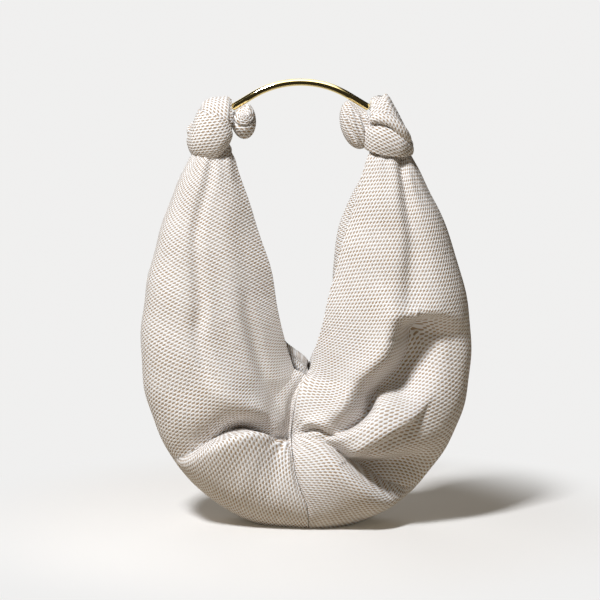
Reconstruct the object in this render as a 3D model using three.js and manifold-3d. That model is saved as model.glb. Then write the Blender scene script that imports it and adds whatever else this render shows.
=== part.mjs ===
// Knotted crescent handbag. A woven shell in two halves is seamed down the middle and drawn in
// at a gather point front and back. Each end is knotted through an eye of an arched brass tube.
// Millimetres, +Z up, front towards -Y, origin on the floor under the middle of the bag.
import * as THREE from "three";
import { mergeVertices } from "three/addons/utils/BufferGeometryUtils.js";
import Module from "manifold-3d";

const wasm = await Module();
wasm.setup();

// Overall shape of the bag
const BAG_WIDTH = 331;
const BODY_DEPTH = 126;
const WIDEST_Z = 172;
const BASE_SINK = 10;
const MOUTH_X = -4;
const MOUTH_Z = 152;
const MOUTH_GAP = 28;
const BACK_RISE = 10;

// Necks, where the arms of the bag run into the knots
const NECK_Z = 366;
const NECK_SPAN = 176;
const NECK_WIDTH = 46;
const NECK_DEPTH = 44;
const NECK_GAP = 6;
const NECK_SHIFT = -5.5;

// Along the arms the back rolls round past the mouth edge and the slit lies to the front
const BACK_ROLL = 9;
const SLIT_SHIFT = 8;

// Gather point, where the pleats are drawn in and tacked
const GATHER_X = -12;
const GATHER_Z = 95;
const GATHER_DEPTH = 24;
const GATHER_RADIUS = 36;

// Main folds of the front: from x, z to x, z, then height, negative in a valley, and width
const FOLDS = [
  [-30, 84, -105, 68, 8, 26],
  [-35, 104, -85, 97, -10, 11],
  [-45, 118, -88, 146, 5, 15],
  [62, 140, 91, 190, -14, 15],
  [36, 124, 80, 185, 7, 13],
  [38, 90, 70, 120, 7, 18],
  [68, 88, 130, 155, 5, 13],
  [62, 60, 100, 40, -11, 13],
  [35, 62, 75, 30, 8, 24],
];

// Cloth layers
const SHELL_WALL = 2;
const LINING_WALL = 1;
const LAYER_GAP = 0.4;
const SEAM_GAP = 0.3;
const FACING_CELLS = 2;
const LINING_STOP_CELLS = 2;
const FACING_STOP_CELLS = 1;

// Slip pocket on the back of the lining, placed by cells of the half bag's grid
const POCKET_WALL = 0.8;
const POCKET_FROM_CELLS = 1;
const POCKET_TO_CELLS = 5;
const POCKET_FOOT_CELLS = 4;
const POCKET_TOP_CELLS = 7;

// Magnetic snap on the facings
const SNAP_DIAMETER = 18;
const SNAP_THICKNESS = 2.6;
const SNAP_BOSS_DIAMETER = 8;
const SNAP_BOSS_HEIGHT = 1.8;
const SNAP_FROM_EDGE = 0.12;

// Handle
const TUBE_DIAMETER = 7;
const TUBE_WALL = 1;
const ARCH_RADIUS = 93;
const ARCH_HALF_ANGLE = THREE.MathUtils.degToRad(31);
const HANDLE_RISE = 39.7;
const EYE_INSET = 15.25;
const EYE_BORE = 12;
const EYE_WIRE = 3.2;
const SHANK_DIAMETER = 2.4;
const SHANK_REACH = 6;
const PLUG_LENGTH = 9;
const HANDLE_SWING = THREE.MathUtils.degToRad(45);

// Turns of cloth wound round the eyes, which swing with the handle
const WRAP_RADIUS = 21;
const WRAP_BORE = 15;
const WRAP_INWARD = 4;
const WRAP_OUTWARD_LEFT = 26;
const WRAP_OUTWARD_RIGHT = 12;

// Fits
const CLEARANCE = 0.3;
const RUNNING_GAP = 0.6;

// Fineness of the facets
const ARM_STEPS = 16;
const SIDE_STEPS = 10;
const TUBE_SIDES = 8;
const ARCH_STEPS = 11;
const RING_STEPS = 18;
const RING_SIDES = 8;
const WRAP_SIDES = 18;
const STRAND_STEPS = 12;
const STRAND_SIDES = 8;

const HALF_WIDTH = BAG_WIDTH / 2;
const ARM_SHARE = 0.57;
const EYE_HALF_SPAN = NECK_SPAN / 2 - EYE_INSET;
const EYE_RADIUS = (EYE_BORE + EYE_WIRE) / 2;
const AXIS_Z = NECK_Z + HANDLE_RISE;
const LOOP_RADIUS = EYE_BORE / 2 - RUNNING_GAP;
const FACING_TOP = 1;
const FACING_FOOT = 1 - FACING_CELLS / SIDE_STEPS;

const clamp = THREE.MathUtils.clamp;
const lerp = THREE.MathUtils.lerp;
const vec = (x, y, z) => new THREE.Vector3(x, y, z);

// Materials
const finish = (color, roughness, metalness) => new THREE.MeshStandardMaterial({ color, roughness, metalness });
const wovenCloth = finish(0xd8d1c6, 0.9, 0);
const liningCloth = finish(0xc9bda9, 0.85, 0);
const polishedBrass = finish(0xd9ad45, 0.12, 1);
const snapMetal = finish(0xc7a24a, 0.25, 1);

// Closed mesh from loose triangles, turned so that its faces point out
function closedGeometry(points, faces) {
  const geometry = new THREE.BufferGeometry();
  geometry.setAttribute("position", new THREE.Float32BufferAttribute(points.flatMap((p) => p.toArray()), 3));
  const corner = (i) => points[i];
  const volume = faces.reduce((sum, [a, b, c]) => {
    return sum + corner(a).dot(corner(b).clone().cross(corner(c)));
  }, 0);
  const turned = volume < 0 ? faces.map(([a, b, c]) => [a, c, b]) : faces;
  geometry.setIndex(turned.flat());
  return geometry;
}

// Manifold solid from a three.js geometry, and back
function solid(geometry) {
  const bare = geometry.clone();
  bare.deleteAttribute("normal");
  bare.deleteAttribute("uv");
  const merged = mergeVertices(bare, 1e-4);
  return new wasm.Manifold(
    new wasm.Mesh({
      numProp: 3,
      vertProperties: new Float32Array(merged.attributes.position.array),
      triVerts: new Uint32Array(merged.index.array),
    }),
  );
}

function geometryOf(manifold) {
  const mesh = manifold.getMesh();
  const geometry = new THREE.BufferGeometry();
  geometry.setAttribute("position", new THREE.Float32BufferAttribute(mesh.vertProperties, 3));
  geometry.setIndex([...mesh.triVerts]);
  return geometry;
}

// Tube through a row of rings, closed by a fan at each end
function loft(rings) {
  const sides = rings[0].length;
  const points = rings.flat();
  const faces = [];
  for (let i = 0; i + 1 < rings.length; i++) {
    for (let j = 0; j < sides; j++) {
      const k = (j + 1) % sides;
      const [a, b, c, d] = [i * sides + j, i * sides + k, (i + 1) * sides + k, (i + 1) * sides + j];
      faces.push([a, b, c], [a, c, d]);
    }
  }
  for (const [ring, first] of [[rings[0], 0], [rings.at(-1), (rings.length - 1) * sides]]) {
    const middle = ring.reduce((sum, p) => sum.add(p), vec(0, 0, 0)).divideScalar(sides);
    points.push(middle);
    for (let j = 0; j < sides; j++) {
      const k = (j + 1) % sides;
      const hub = points.length - 1;
      faces.push(first === 0 ? [hub, first + k, first + j] : [hub, first + j, first + k]);
    }
  }
  return closedGeometry(points, faces);
}

// Outer edge of the crescent at share s of a half bag, 0 at the base and 1 at the neck
function outerEdge(side, s) {
  if (s <= ARM_SHARE) {
    const turn = (s / ARM_SHARE) * (Math.PI / 2);
    return vec(side * HALF_WIDTH * Math.sin(turn), 0, WIDEST_Z - (WIDEST_Z + BASE_SINK) * Math.cos(turn));
  }
  const neckEdge = side * NECK_SHIFT + (NECK_SPAN + NECK_WIDTH) / 2;
  const rise = (s - ARM_SHARE) / (1 - ARM_SHARE);
  const x = HALF_WIDTH * Math.cos(rise * Math.acos(neckEdge / HALF_WIDTH));
  return vec(side * x, 0, lerp(WIDEST_Z, NECK_Z, rise));
}

// Mouth edge in the middle plane, a V from the notch up to each neck, higher at the back
function mouthEdge(side, s, face) {
  const neck = vec(NECK_SHIFT + (side * (NECK_SPAN - NECK_WIDTH)) / 2, 0, NECK_Z);
  return vec(MOUTH_X, 0, MOUTH_Z + (face > 0 ? BACK_RISE : 0)).lerp(neck, s * s);
}

// Half depth of the section from its outer edge, v = 0, to its mouth edge, v = 1
function halfDepth(s, v) {
  const fall = 1 - s * s;
  const deep = lerp(NECK_DEPTH, BODY_DEPTH, Math.pow(fall, 0.8)) / 2;
  const gap = lerp(NECK_GAP, MOUTH_GAP, fall) / 2;
  const w = 1 - v;
  return 3 * w * v * 1.25 * deep + v * v * v * gap;
}

// Share of the way from the mouth edge to the outer edge
function across(v) {
  return 1 - 3 * (1 - v) * v * v * 0.65 - v * v * v;
}

// How far the main folds stand out of the front's plain form
function foldHeight(x, z) {
  return FOLDS.reduce((sum, [fromX, fromZ, toX, toZ, height, width]) => {
    const run = new THREE.Vector2(toX - fromX, toZ - fromZ);
    const off = new THREE.Vector2(x - fromX, z - fromZ);
    off.addScaledVector(run, -clamp(off.dot(run) / run.lengthSq(), 0, 1));
    return sum + height * Math.exp(-off.lengthSq() / width ** 2);
  }, 0);
}

// Outer face of the shell: t runs from -1 at the front mouth edge over 0 at the rim to 1 at the back
function shellPoint(side, s, t) {
  const v = Math.abs(t);
  const p = mouthEdge(side, s, t).lerp(outerEdge(side, s), across(v));
  const arm = THREE.MathUtils.smoothstep(s, 0.25, 0.55);
  const roll = 12.2 * v ** 4 * (1 - v);
  if (t > 0) p.x -= BACK_ROLL * roll * arm;
  const foldX = t < 0 ? p.x : GATHER_X - p.x;
  const dimple = Math.exp(-((foldX - GATHER_X) ** 2 + (p.z - GATHER_Z) ** 2) / GATHER_RADIUS ** 2);
  const folds = foldHeight(foldX, p.z) * THREE.MathUtils.smoothstep(v, 0.1, 0.4);
  p.y = Math.sign(t) * (halfDepth(s, v) - GATHER_DEPTH * dimple * v + folds) - SLIT_SHIFT * v ** 3 * arm;
  p.z = Math.max(p.z, 0);
  return p;
}

// Normal of the plane of the middle seam, along which the two halves meet
const seamRun = outerEdge(1, 0).sub(mouthEdge(1, 0, -1)).normalize();
const seamNormal = vec(-seamRun.z, 0, seamRun.x).multiplyScalar(Math.sign(-seamRun.z));

// Point of a layer that lies `depth` inside the shell's outer face
function layerPoint(side, s, t, depth) {
  const sn = clamp(s, 0.04, 0.98);
  const tn = clamp(t, -0.98, 0.98);
  const step = 0.01;
  const alongArm = shellPoint(side, sn + step, tn).sub(shellPoint(side, sn - step, tn));
  const roundArm = shellPoint(side, sn, tn + step).sub(shellPoint(side, sn, tn - step));
  const normal = alongArm.cross(roundArm).multiplyScalar(side).normalize();
  const nearSeam = 1 - THREE.MathUtils.smoothstep(s, 0, 0.3);
  normal.addScaledVector(seamNormal, -nearSeam * normal.dot(seamNormal)).normalize();
  const p = shellPoint(side, s, t).addScaledVector(normal, depth);
  if (s === 0) {
    const off = p.clone().sub(mouthEdge(side, 0, -1)).dot(seamNormal);
    p.addScaledVector(seamNormal, (side * SEAM_GAP) / 2 - off);
  }
  return p;
}

// The same point on the flat facet between two steps round the arm
function facetPoint(side, s, t, depth) {
  const low = Math.floor(t * SIDE_STEPS + 1e-6) / SIDE_STEPS;
  const share = (t - low) * SIDE_STEPS;
  if (share < 1e-5) return layerPoint(side, s, low, depth);
  return layerPoint(side, s, low, depth).lerp(layerPoint(side, s, low + 1 / SIDE_STEPS, depth), share);
}

// Cloth panel over a patch of the shell, `near` to `far` inside its outer face
function clothPanel(side, armShares, turns, near, far) {
  const rows = armShares.length;
  const cols = turns.length;
  const points = [];
  for (const depth of [near, far]) {
    for (const s of armShares) {
      for (const t of turns) points.push(facetPoint(side, s, t, depth));
    }
  }
  const at = (layer, i, j) => layer * rows * cols + i * cols + j;
  const faces = [];
  const quad = (a, b, c, d) => faces.push([a, b, c], [a, c, d]);
  for (let i = 0; i + 1 < rows; i++) {
    for (let j = 0; j + 1 < cols; j++) {
      quad(at(0, i, j), at(0, i + 1, j), at(0, i + 1, j + 1), at(0, i, j + 1));
      quad(at(1, i, j), at(1, i, j + 1), at(1, i + 1, j + 1), at(1, i + 1, j));
    }
  }
  for (let i = 0; i + 1 < rows; i++) {
    quad(at(0, i, 0), at(1, i, 0), at(1, i + 1, 0), at(0, i + 1, 0));
    quad(at(0, i, cols - 1), at(0, i + 1, cols - 1), at(1, i + 1, cols - 1), at(1, i, cols - 1));
  }
  for (let j = 0; j + 1 < cols; j++) {
    quad(at(0, 0, j), at(0, 0, j + 1), at(1, 0, j + 1), at(1, 0, j));
    quad(at(0, rows - 1, j), at(1, rows - 1, j), at(1, rows - 1, j + 1), at(0, rows - 1, j + 1));
  }
  return closedGeometry(points, faces);
}

// Even steps of the half bag's grid between two shares, so that layers have the same facets
function gridSteps(from, to, count) {
  const inner = [];
  for (let i = -count; i <= count; i++) {
    const share = i / count;
    if (share > from + 0.2 / count && share < to - 0.2 / count) inner.push(share);
  }
  return [from, ...inner, to];
}

const shellDepth = SHELL_WALL;
const liningNear = shellDepth + LAYER_GAP;
const liningFar = liningNear + LINING_WALL;
const pocketNear = liningFar + LAYER_GAP;
const pocketFar = pocketNear + POCKET_WALL;
const facingGap = 0.003;

function shellHalf(side) {
  return clothPanel(side, gridSteps(0, 1, ARM_STEPS), gridSteps(-1, 1, SIDE_STEPS), 0, shellDepth);
}

function liningHalf(side) {
  const edge = FACING_FOOT - facingGap;
  const turns = gridSteps(-edge, edge, SIDE_STEPS);
  const shares = gridSteps(0, 1 - LINING_STOP_CELLS / ARM_STEPS, ARM_STEPS);
  return clothPanel(side, shares, turns, liningNear, liningFar);
}

function facing(side, face) {
  const turns = gridSteps(...(face < 0 ? [-FACING_TOP, -FACING_FOOT] : [FACING_FOOT, FACING_TOP]), SIDE_STEPS);
  const shares = gridSteps(0, 1 - FACING_STOP_CELLS / ARM_STEPS, ARM_STEPS);
  return clothPanel(side, shares, turns, liningNear, liningFar);
}

function slipPocket() {
  const turns = gridSteps(POCKET_FOOT_CELLS / SIDE_STEPS, POCKET_TOP_CELLS / SIDE_STEPS, SIDE_STEPS);
  const shares = gridSteps(POCKET_FROM_CELLS / ARM_STEPS, POCKET_TO_CELLS / ARM_STEPS, ARM_STEPS);
  return clothPanel(1, shares, turns, pocketNear, pocketFar);
}

// Disc of the snap over the middle seam of the facings: a boss or a socket in its face
function snapHalf(face, boss) {
  const t = face * (1 - SNAP_FROM_EDGE);
  const seat = layerPoint(1, 0, t, liningFar);
  const inward = layerPoint(1, 0, t, liningFar + 1).sub(seat).normalize();
  const r = SNAP_DIAMETER / 2;
  const b = SNAP_BOSS_DIAMETER / 2;
  const h = SNAP_THICKNESS;
  const rise = boss ? SNAP_BOSS_HEIGHT - CLEARANCE : -SNAP_BOSS_HEIGHT;
  const neck = boss ? b - CLEARANCE : b;
  const profile = [[0, 0], [r, 0], [r, h * 0.6], [r * 0.9, h], [neck, h], [neck, h + rise], [0, h + rise]];
  const disc = new THREE.LatheGeometry(profile.map(([x, y]) => new THREE.Vector2(x, y)), 24);
  disc.applyQuaternion(new THREE.Quaternion().setFromUnitVectors(vec(0, 1, 0), inward));
  disc.translate(...seat.addScaledVector(inward, CLEARANCE + seatRise(seat, inward, face, r)).toArray());
  return disc;
}

// How far the facing's hollow rises above its seat point under a disc of radius r
function seatRise(seat, inward, face, r) {
  let rise = 0;
  for (const side of [-1, 1]) {
    for (let i = 0; i <= ARM_STEPS / 2; i++) {
      for (const t of gridSteps(FACING_FOOT, FACING_TOP, SIDE_STEPS)) {
        const off = layerPoint(side, i / ARM_STEPS, face * t, liningFar).sub(seat);
        const lift = off.dot(inward);
        const reach = Math.sqrt(off.lengthSq() - lift * lift);
        rise = Math.max(rise, lift * Math.min(1, r / reach));
      }
    }
  }
  return rise;
}

// Puffy strand of folded cloth along a smooth path, flat against a ball round its hub
function strand(hub, stations) {
  const path = new THREE.CatmullRomCurve3(stations.map(([x, y, z]) => vec(x, y, z).add(hub)));
  const rings = [];
  for (let i = 0; i <= STRAND_STEPS; i++) {
    const share = i / STRAND_STEPS;
    const at = share * (stations.length - 1);
    const low = Math.min(Math.floor(at), stations.length - 2);
    const sized = (k) => lerp(stations[low][k], stations[low + 1][k], at - low);
    const p = path.getPoint(share);
    const run = path.getTangent(share);
    const out = p.clone().sub(hub).projectOnPlane(run).normalize();
    const wide = run.clone().cross(out);
    const rounding = Math.sqrt(1 - Math.pow(Math.abs(2 * share - 1), 5) * 0.85);
    const ring = [];
    for (let j = 0; j < STRAND_SIDES; j++) {
      const turn = (j / STRAND_SIDES) * 2 * Math.PI;
      const a = Math.cos(turn) * sized(3) * rounding;
      const b = Math.sin(turn) * sized(4) * rounding;
      ring.push(p.clone().addScaledVector(wide, a).addScaledVector(out, b));
    }
    rings.push(ring);
  }
  return solid(loft(rings));
}

// Rounded wad of cloth, leaning by `tilt` towards +X
function wad(hub, { offset, radii, tilt = 0 }, grow = 0) {
  const sphere = new THREE.SphereGeometry(1, 16, 12);
  sphere.rotateX(Math.PI / 2);
  sphere.scale(...radii.map((r) => r + grow));
  sphere.rotateY(tilt);
  sphere.translate(...vec(...offset).add(hub).toArray());
  return solid(sphere);
}

// Ring-shaped room round the handle's axis, from profile points (x, radius), over a sector of turns
function sweptRoom(profile, from, to) {
  const steps = Math.ceil((to - from) / 0.2);
  const rings = [];
  for (let i = 0; i <= steps; i++) {
    const turn = lerp(from, to, i / steps);
    rings.push(profile.map(([x, r]) => vec(x, r * Math.sin(turn), AXIS_Z + r * Math.cos(turn))));
  }
  return solid(loft(rings));
}

// Handle: a tube with straight ends off an arch, in the plane y = 0
const archDrop = ARCH_RADIUS * (1 - Math.cos(ARCH_HALF_ANGLE));
const archReach = ARCH_RADIUS * Math.sin(ARCH_HALF_ANGLE);
const shankX = SHANK_REACH * Math.cos(ARCH_HALF_ANGLE);
const shankZ = SHANK_REACH * Math.sin(ARCH_HALF_ANGLE);
const straight = (EYE_HALF_SPAN - shankX - archReach) / Math.cos(ARCH_HALF_ANGLE);
const tubeEndX = EYE_HALF_SPAN - shankX;
const tubeEndZ = AXIS_Z + EYE_RADIUS + shankZ;
const archTopZ = tubeEndZ + straight * Math.sin(ARCH_HALF_ANGLE) + archDrop;

class HandlePath extends THREE.Curve {
  getPoint(share, target = vec(0, 0, 0)) {
    const arc = ARCH_RADIUS * ARCH_HALF_ANGLE;
    const run = lerp(-(arc + straight), arc + straight, share);
    const turn = clamp(run, -arc, arc) / ARCH_RADIUS;
    const past = Math.max(Math.abs(run) - arc, 0);
    const x = ARCH_RADIUS * Math.sin(turn) + Math.sign(run) * past * Math.cos(ARCH_HALF_ANGLE);
    const z = archTopZ - ARCH_RADIUS * (1 - Math.cos(turn)) - past * Math.sin(ARCH_HALF_ANGLE);
    return target.set(NECK_SHIFT + x, 0, z);
  }
}

function circle(radius, hole = 0) {
  const shape = new THREE.Shape().absarc(0, 0, radius, 0, 2 * Math.PI);
  if (hole) shape.holes.push(new THREE.Path().absarc(0, 0, hole, 0, 2 * Math.PI, true));
  return shape;
}

function handleTube() {
  return new THREE.ExtrudeGeometry(circle(TUBE_DIAMETER / 2, TUBE_DIAMETER / 2 - TUBE_WALL), {
    extrudePath: new HandlePath(),
    steps: 2 * ARCH_STEPS,
    curveSegments: TUBE_SIDES,
    bevelEnabled: false,
  });
}

// Turned piece on the line of a tube end: y = 0 at the end face, running up into the tube
function onTubeEnd(geometry, side) {
  geometry.rotateZ(side * (Math.PI / 2 - ARCH_HALF_ANGLE));
  geometry.rotateX(Math.PI / 2);
  geometry.translate(NECK_SHIFT + side * tubeEndX, 0, tubeEndZ);
  return geometry;
}

function endPlug(side) {
  const outer = TUBE_DIAMETER / 2 - TUBE_WALL - CLEARANCE;
  const bore = SHANK_DIAMETER / 2 + CLEARANCE;
  const profile = [[bore, 0], [outer, 0], [outer, PLUG_LENGTH], [bore, PLUG_LENGTH], [bore, 0]];
  const plug = new THREE.LatheGeometry(profile.map(([x, y]) => new THREE.Vector2(x, y)), TUBE_SIDES);
  return onTubeEnd(plug, side);
}

function eyeBolt(side, grow = 0) {
  const ring = new THREE.TorusGeometry(EYE_RADIUS, EYE_WIRE / 2 + grow, RING_SIDES, RING_STEPS);
  ring.rotateY(Math.PI / 2);
  ring.translate(NECK_SHIFT + side * EYE_HALF_SPAN, 0, AXIS_Z);
  const length = SHANK_REACH + PLUG_LENGTH;
  const radius = SHANK_DIAMETER / 2 + grow;
  const shank = new THREE.CylinderGeometry(radius, radius, length, TUBE_SIDES);
  shank.translate(0, length / 2 - SHANK_REACH, 0);
  return solid(ring).add(solid(onTubeEnd(shank, side)));
}

// Barrel round the handle's axis, from `outward` of the eye's plane to a little inward of it
function barrel(side, outward, grow = 0) {
  const from = -outward - grow;
  const to = WRAP_INWARD + grow;
  const bulge = [[from, 0.75], [lerp(from, 0, 0.15), 0.93], [lerp(from, 0, 0.5), 1], [0, 0.97],
    [to * 0.6, 0.88], [to, 0.7]];
  const rings = bulge.map(([along, share]) => {
    const r = WRAP_RADIUS * share + grow;
    const x = NECK_SHIFT + side * (EYE_HALF_SPAN - along);
    return Array.from({ length: WRAP_SIDES }, (_, j) => {
      const turn = (j / WRAP_SIDES) * 2 * Math.PI;
      return vec(x, r * Math.sin(turn), AXIS_Z + r * Math.cos(turn));
    });
  });
  return solid(loft(rings));
}

// Turn of cloth round an eye, hollow for the eye, the tube end and the cloth that passes through
function eyeWrap(side, outward) {
  const bore = new THREE.CylinderGeometry(WRAP_BORE / 2, WRAP_BORE / 2, 4 * outward, WRAP_SIDES);
  bore.rotateZ(Math.PI / 2);
  bore.translate(NECK_SHIFT + side * EYE_HALF_SPAN, 0, AXIS_Z);
  const radius = TUBE_DIAMETER / 2 + CLEARANCE;
  const tubeEnd = new THREE.CylinderGeometry(radius, radius, PLUG_LENGTH + CLEARANCE, TUBE_SIDES);
  tubeEnd.translate(0, (PLUG_LENGTH - CLEARANCE) / 2, 0);
  const wound = barrel(side, outward).subtract(solid(bore)).subtract(eyeBolt(side, CLEARANCE));
  return geometryOf(wound.subtract(solid(onTubeEnd(tubeEnd, side))));
}

// Room that the eye, the shank and the tube sweep through as the handle swings
function handleRoom(side) {
  const eyeX = NECK_SHIFT + side * EYE_HALF_SPAN;
  const half = EYE_WIRE / 2 + RUNNING_GAP;
  const far = EYE_RADIUS + EYE_WIRE / 2 + RUNNING_GAP;
  const groove = [[-half, LOOP_RADIUS], [half, LOOP_RADIUS], [half, far], [-half, far]];
  const ringRoom = sweptRoom(groove.map(([x, r]) => [eyeX + x, r]), -Math.PI, Math.PI * 0.5)
    .add(sweptRoom(groove.map(([x, r]) => [eyeX + x, r]), Math.PI * 0.4, Math.PI * 1.1));
  const slope = Math.tan(ARCH_HALF_ANGLE);
  const thick = (TUBE_DIAMETER / 2 + RUNNING_GAP) / Math.cos(ARCH_HALF_ANGLE) + RUNNING_GAP;
  const run = 46;
  const headroom = 40;
  const level = (LOOP_RADIUS + thick - EYE_RADIUS) / slope;
  const strip = [[0, LOOP_RADIUS], [level, LOOP_RADIUS], [run, EYE_RADIUS - thick + run * slope],
    [run, EYE_RADIUS + headroom + run * slope], [0, EYE_RADIUS + headroom]];
  const reach = HANDLE_SWING + Math.asin(Math.min(1, thick / (EYE_RADIUS + shankZ)));
  const tubeRoom = sweptRoom(strip.map(([x, r]) => [eyeX - side * x, r]), -reach, reach);
  return ringRoom.add(tubeRoom);
}

// Knots: stations are x, y, z from the knot's middle, then half width and half thickness
const KNOT_RISE = 30;
const CORE = { offset: [0, 0, 0], radii: [16, 15, 25] };
const NECK_WAD = { offset: [0, 0, -KNOT_RISE + 5], radii: [NECK_WIDTH / 2, NECK_DEPTH / 2, 14] };
const leftKnot = {
  wrapOutward: WRAP_OUTWARD_LEFT,
  bands: [
    [[15, 2, -4, 10, 6], [11, -15, -9, 15, 9], [-4, -19, -10, 18, 9], [-17, -9, -10, 19, 9],
      [-18, 7, -10, 18, 9], [-5, 17, -10, 17, 9], [10, 14, -9, 14, 8]],
  ],
  pads: [NECK_WAD],
  tail: { offset: [30, 0, 6], radii: [14, 16, 19], tilt: -0.15 },
  stem: { offset: [20, -2, -15], radii: [10, 9, 6.5] },
};
const rightKnot = {
  wrapOutward: WRAP_OUTWARD_RIGHT,
  bands: [
    [[-19, -6, -8, 10, 7], [-10, -17, -13, 14, 9], [5, -19, -17, 13, 9], [16, -10, -18, 12, 9],
      [18, 4, -17, 12, 8], [9, 15, -14, 13, 9], [-7, 16, -11, 13, 8]],
    [[4, 8, 18, 9, 7], [4, -3, 25, 10, 7], [8, -12, 17, 11, 8], [14, -14, 4, 11, 8], [19, -7, -8, 10, 7]],
    [[-14, -19, 2, 7, 6], [-8, -20, 4, 8, 6], [4, -19, 1, 8, 7], [14, -14, -5, 8, 7], [20, -4, -12, 7, 6]],
  ],
  pads: [NECK_WAD, CORE],
  tail: { offset: [-33, 0, 3], radii: [16, 17, 24], tilt: -0.35 },
  stem: { offset: [-22, 0, -18], radii: [9, 9, 6] },
};

function knot(side, shape) {
  const hub = vec(NECK_SHIFT + (side * NECK_SPAN) / 2, 0, NECK_Z + KNOT_RISE);
  const loopFrom = NECK_SHIFT + side * (EYE_HALF_SPAN + EYE_WIRE / 2 + 9);
  const loopTo = NECK_SHIFT + side * (EYE_HALF_SPAN - EYE_WIRE / 2 - 9);
  const loopBar = (grow) => {
    const length = Math.abs(loopTo - loopFrom) + 2 * grow;
    const bar = new THREE.CylinderGeometry(LOOP_RADIUS + grow, LOOP_RADIUS + grow, length, TUBE_SIDES);
    bar.rotateZ(Math.PI / 2);
    bar.translate((loopFrom + loopTo) / 2, 0, AXIS_Z);
    return solid(bar);
  };
  const room = handleRoom(side).add(barrel(side, shape.wrapOutward, RUNNING_GAP));
  const below = new THREE.BoxGeometry(200, 200, 100);
  below.translate(hub.x, 0, NECK_Z + CLEARANCE - 50);
  const floor = solid(below);
  const eyeSide = new THREE.BoxGeometry(100, 200, 200);
  eyeSide.translate(NECK_SHIFT + side * (EYE_HALF_SPAN - EYE_WIRE / 2 - RUNNING_GAP - 50), 0, AXIS_Z);
  const bulb = wad(hub, shape.tail).intersect(solid(eyeSide)).add(wad(hub, shape.stem));
  const bulbRoom = wad(hub, shape.tail, CLEARANCE).add(wad(hub, shape.stem, CLEARANCE));
  const tail = bulb.subtract(room).add(loopBar(0)).subtract(floor);
  const strands = shape.bands.map((stations) => strand(hub, stations));
  const pads = shape.pads.map((pad) => wad(hub, pad));
  const body = [...strands, ...pads].reduce((sum, part) => sum.add(part));
  const wrap = body.subtract(bulbRoom).subtract(loopBar(CLEARANCE)).subtract(room).subtract(floor);
  return { wrap: geometryOf(wrap), tail: geometryOf(tail) };
}

// Assembly
const bag = new THREE.Group();
function place(name, geometry, material) {
  const mesh = new THREE.Mesh(geometry, material);
  mesh.name = name;
  bag.add(mesh);
}

for (const [side, name, shape] of [[-1, "left", leftKnot], [1, "right", rightKnot]]) {
  place(`shell_${name}`, shellHalf(side), wovenCloth);
  place(`lining_${name}`, liningHalf(side), liningCloth);
  place(`facing_front_${name}`, facing(side, -1), wovenCloth);
  place(`facing_back_${name}`, facing(side, 1), wovenCloth);
  const tied = knot(side, shape);
  place(`knot_${name}`, tied.wrap, wovenCloth);
  place(`knot_tail_${name}`, tied.tail, wovenCloth);
  place(`handle_plug_${name}`, endPlug(side), polishedBrass);
  place(`handle_eye_${name}`, geometryOf(eyeBolt(side)), polishedBrass);
  place(`handle_wrap_${name}`, eyeWrap(side, shape.wrapOutward), wovenCloth);
}
place("handle_tube", handleTube(), polishedBrass);
place("slip_pocket", slipPocket(), liningCloth);
place("snap_socket", snapHalf(-1, false), snapMetal);
place("snap_stud", snapHalf(1, true), snapMetal);

export default bag;
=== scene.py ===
import math
import bpy
import numpy as np
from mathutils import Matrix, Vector


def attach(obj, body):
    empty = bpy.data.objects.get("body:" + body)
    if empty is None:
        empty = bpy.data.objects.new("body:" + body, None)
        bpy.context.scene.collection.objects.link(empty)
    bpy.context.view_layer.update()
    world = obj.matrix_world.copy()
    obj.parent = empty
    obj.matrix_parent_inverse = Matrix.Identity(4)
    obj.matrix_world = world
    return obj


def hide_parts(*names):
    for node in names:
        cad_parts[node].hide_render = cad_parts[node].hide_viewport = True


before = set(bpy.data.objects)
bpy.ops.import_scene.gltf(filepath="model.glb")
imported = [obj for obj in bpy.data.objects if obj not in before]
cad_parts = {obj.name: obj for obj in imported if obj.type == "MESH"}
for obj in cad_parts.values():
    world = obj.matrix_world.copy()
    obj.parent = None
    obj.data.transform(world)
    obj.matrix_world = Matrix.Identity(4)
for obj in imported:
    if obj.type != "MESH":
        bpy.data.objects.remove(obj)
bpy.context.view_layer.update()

# Sizes of the body in millimetres
MILLIMETRE = 0.001
HALF_WIDTH = 165.5
BODY_DEPTH = 126.0
WIDEST_Z = 172.0
BASE_SINK = 10.0
ARM_SHARE = 0.57
ARM_RANGE = (0.25, 0.55)
WALL = 2.0
SEAM_GAP = 0.6
FLOOR_CLEARANCE = 0.2
INNER_CLEARANCE = 1.2

# Cross-section: fall of the depth, pull of the sides and swell of the faces
DEPTH_POWER = 0.8
SIDE_PULL = 0.65
FACE_SWELL = 1.25

# Necks, where the arms go into the knots
NECK_Z = 366.0
NECK_SPAN = 176.0
NECK_WIDTH = 46.0
NECK_DEPTH = 44.0
NECK_GAP = 6.0
NECK_SHIFT = -5.5
NECK_NARROWING = 11.0
NECK_REACH = 460.0
KNOT_Z = NECK_Z + 30.0

# Mouth, and where the bow of its edges comes and goes
MOUTH_X = 0.0
MOUTH_Z = 151.0
MOUTH_GAP = 28.0
MOUTH_CLOSE = 2.0
SLIT_SHIFT = 8.0
FRONT_BOW = {-1: 0.14, 1: 0.04}
FRONT_BOW_RANGE = ((0.0, 0.03), (0.55, 0.15))
BACK_BOW = {-1: 0.21, 1: 0.15}
BACK_BOW_RANGE = ((0.0, 0.13), (0.8, 0.15))
BACK_VERTEX = 3.0
BACK_VERTEX_OUT = (0.09, 0.0)
BACK_RISE = 6.0
BACK_SPREAD = 2.5

# Roll of the back edge: the peak factor brings its curve to a height of one
BACK_ROLL = 9.0
ROLL_PEAK = 12.2
RIGHT_ROLL = 3.0
RIGHT_ROLL_RANGE = ((0.45, 0.7), (1.04, 0.82))

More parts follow.
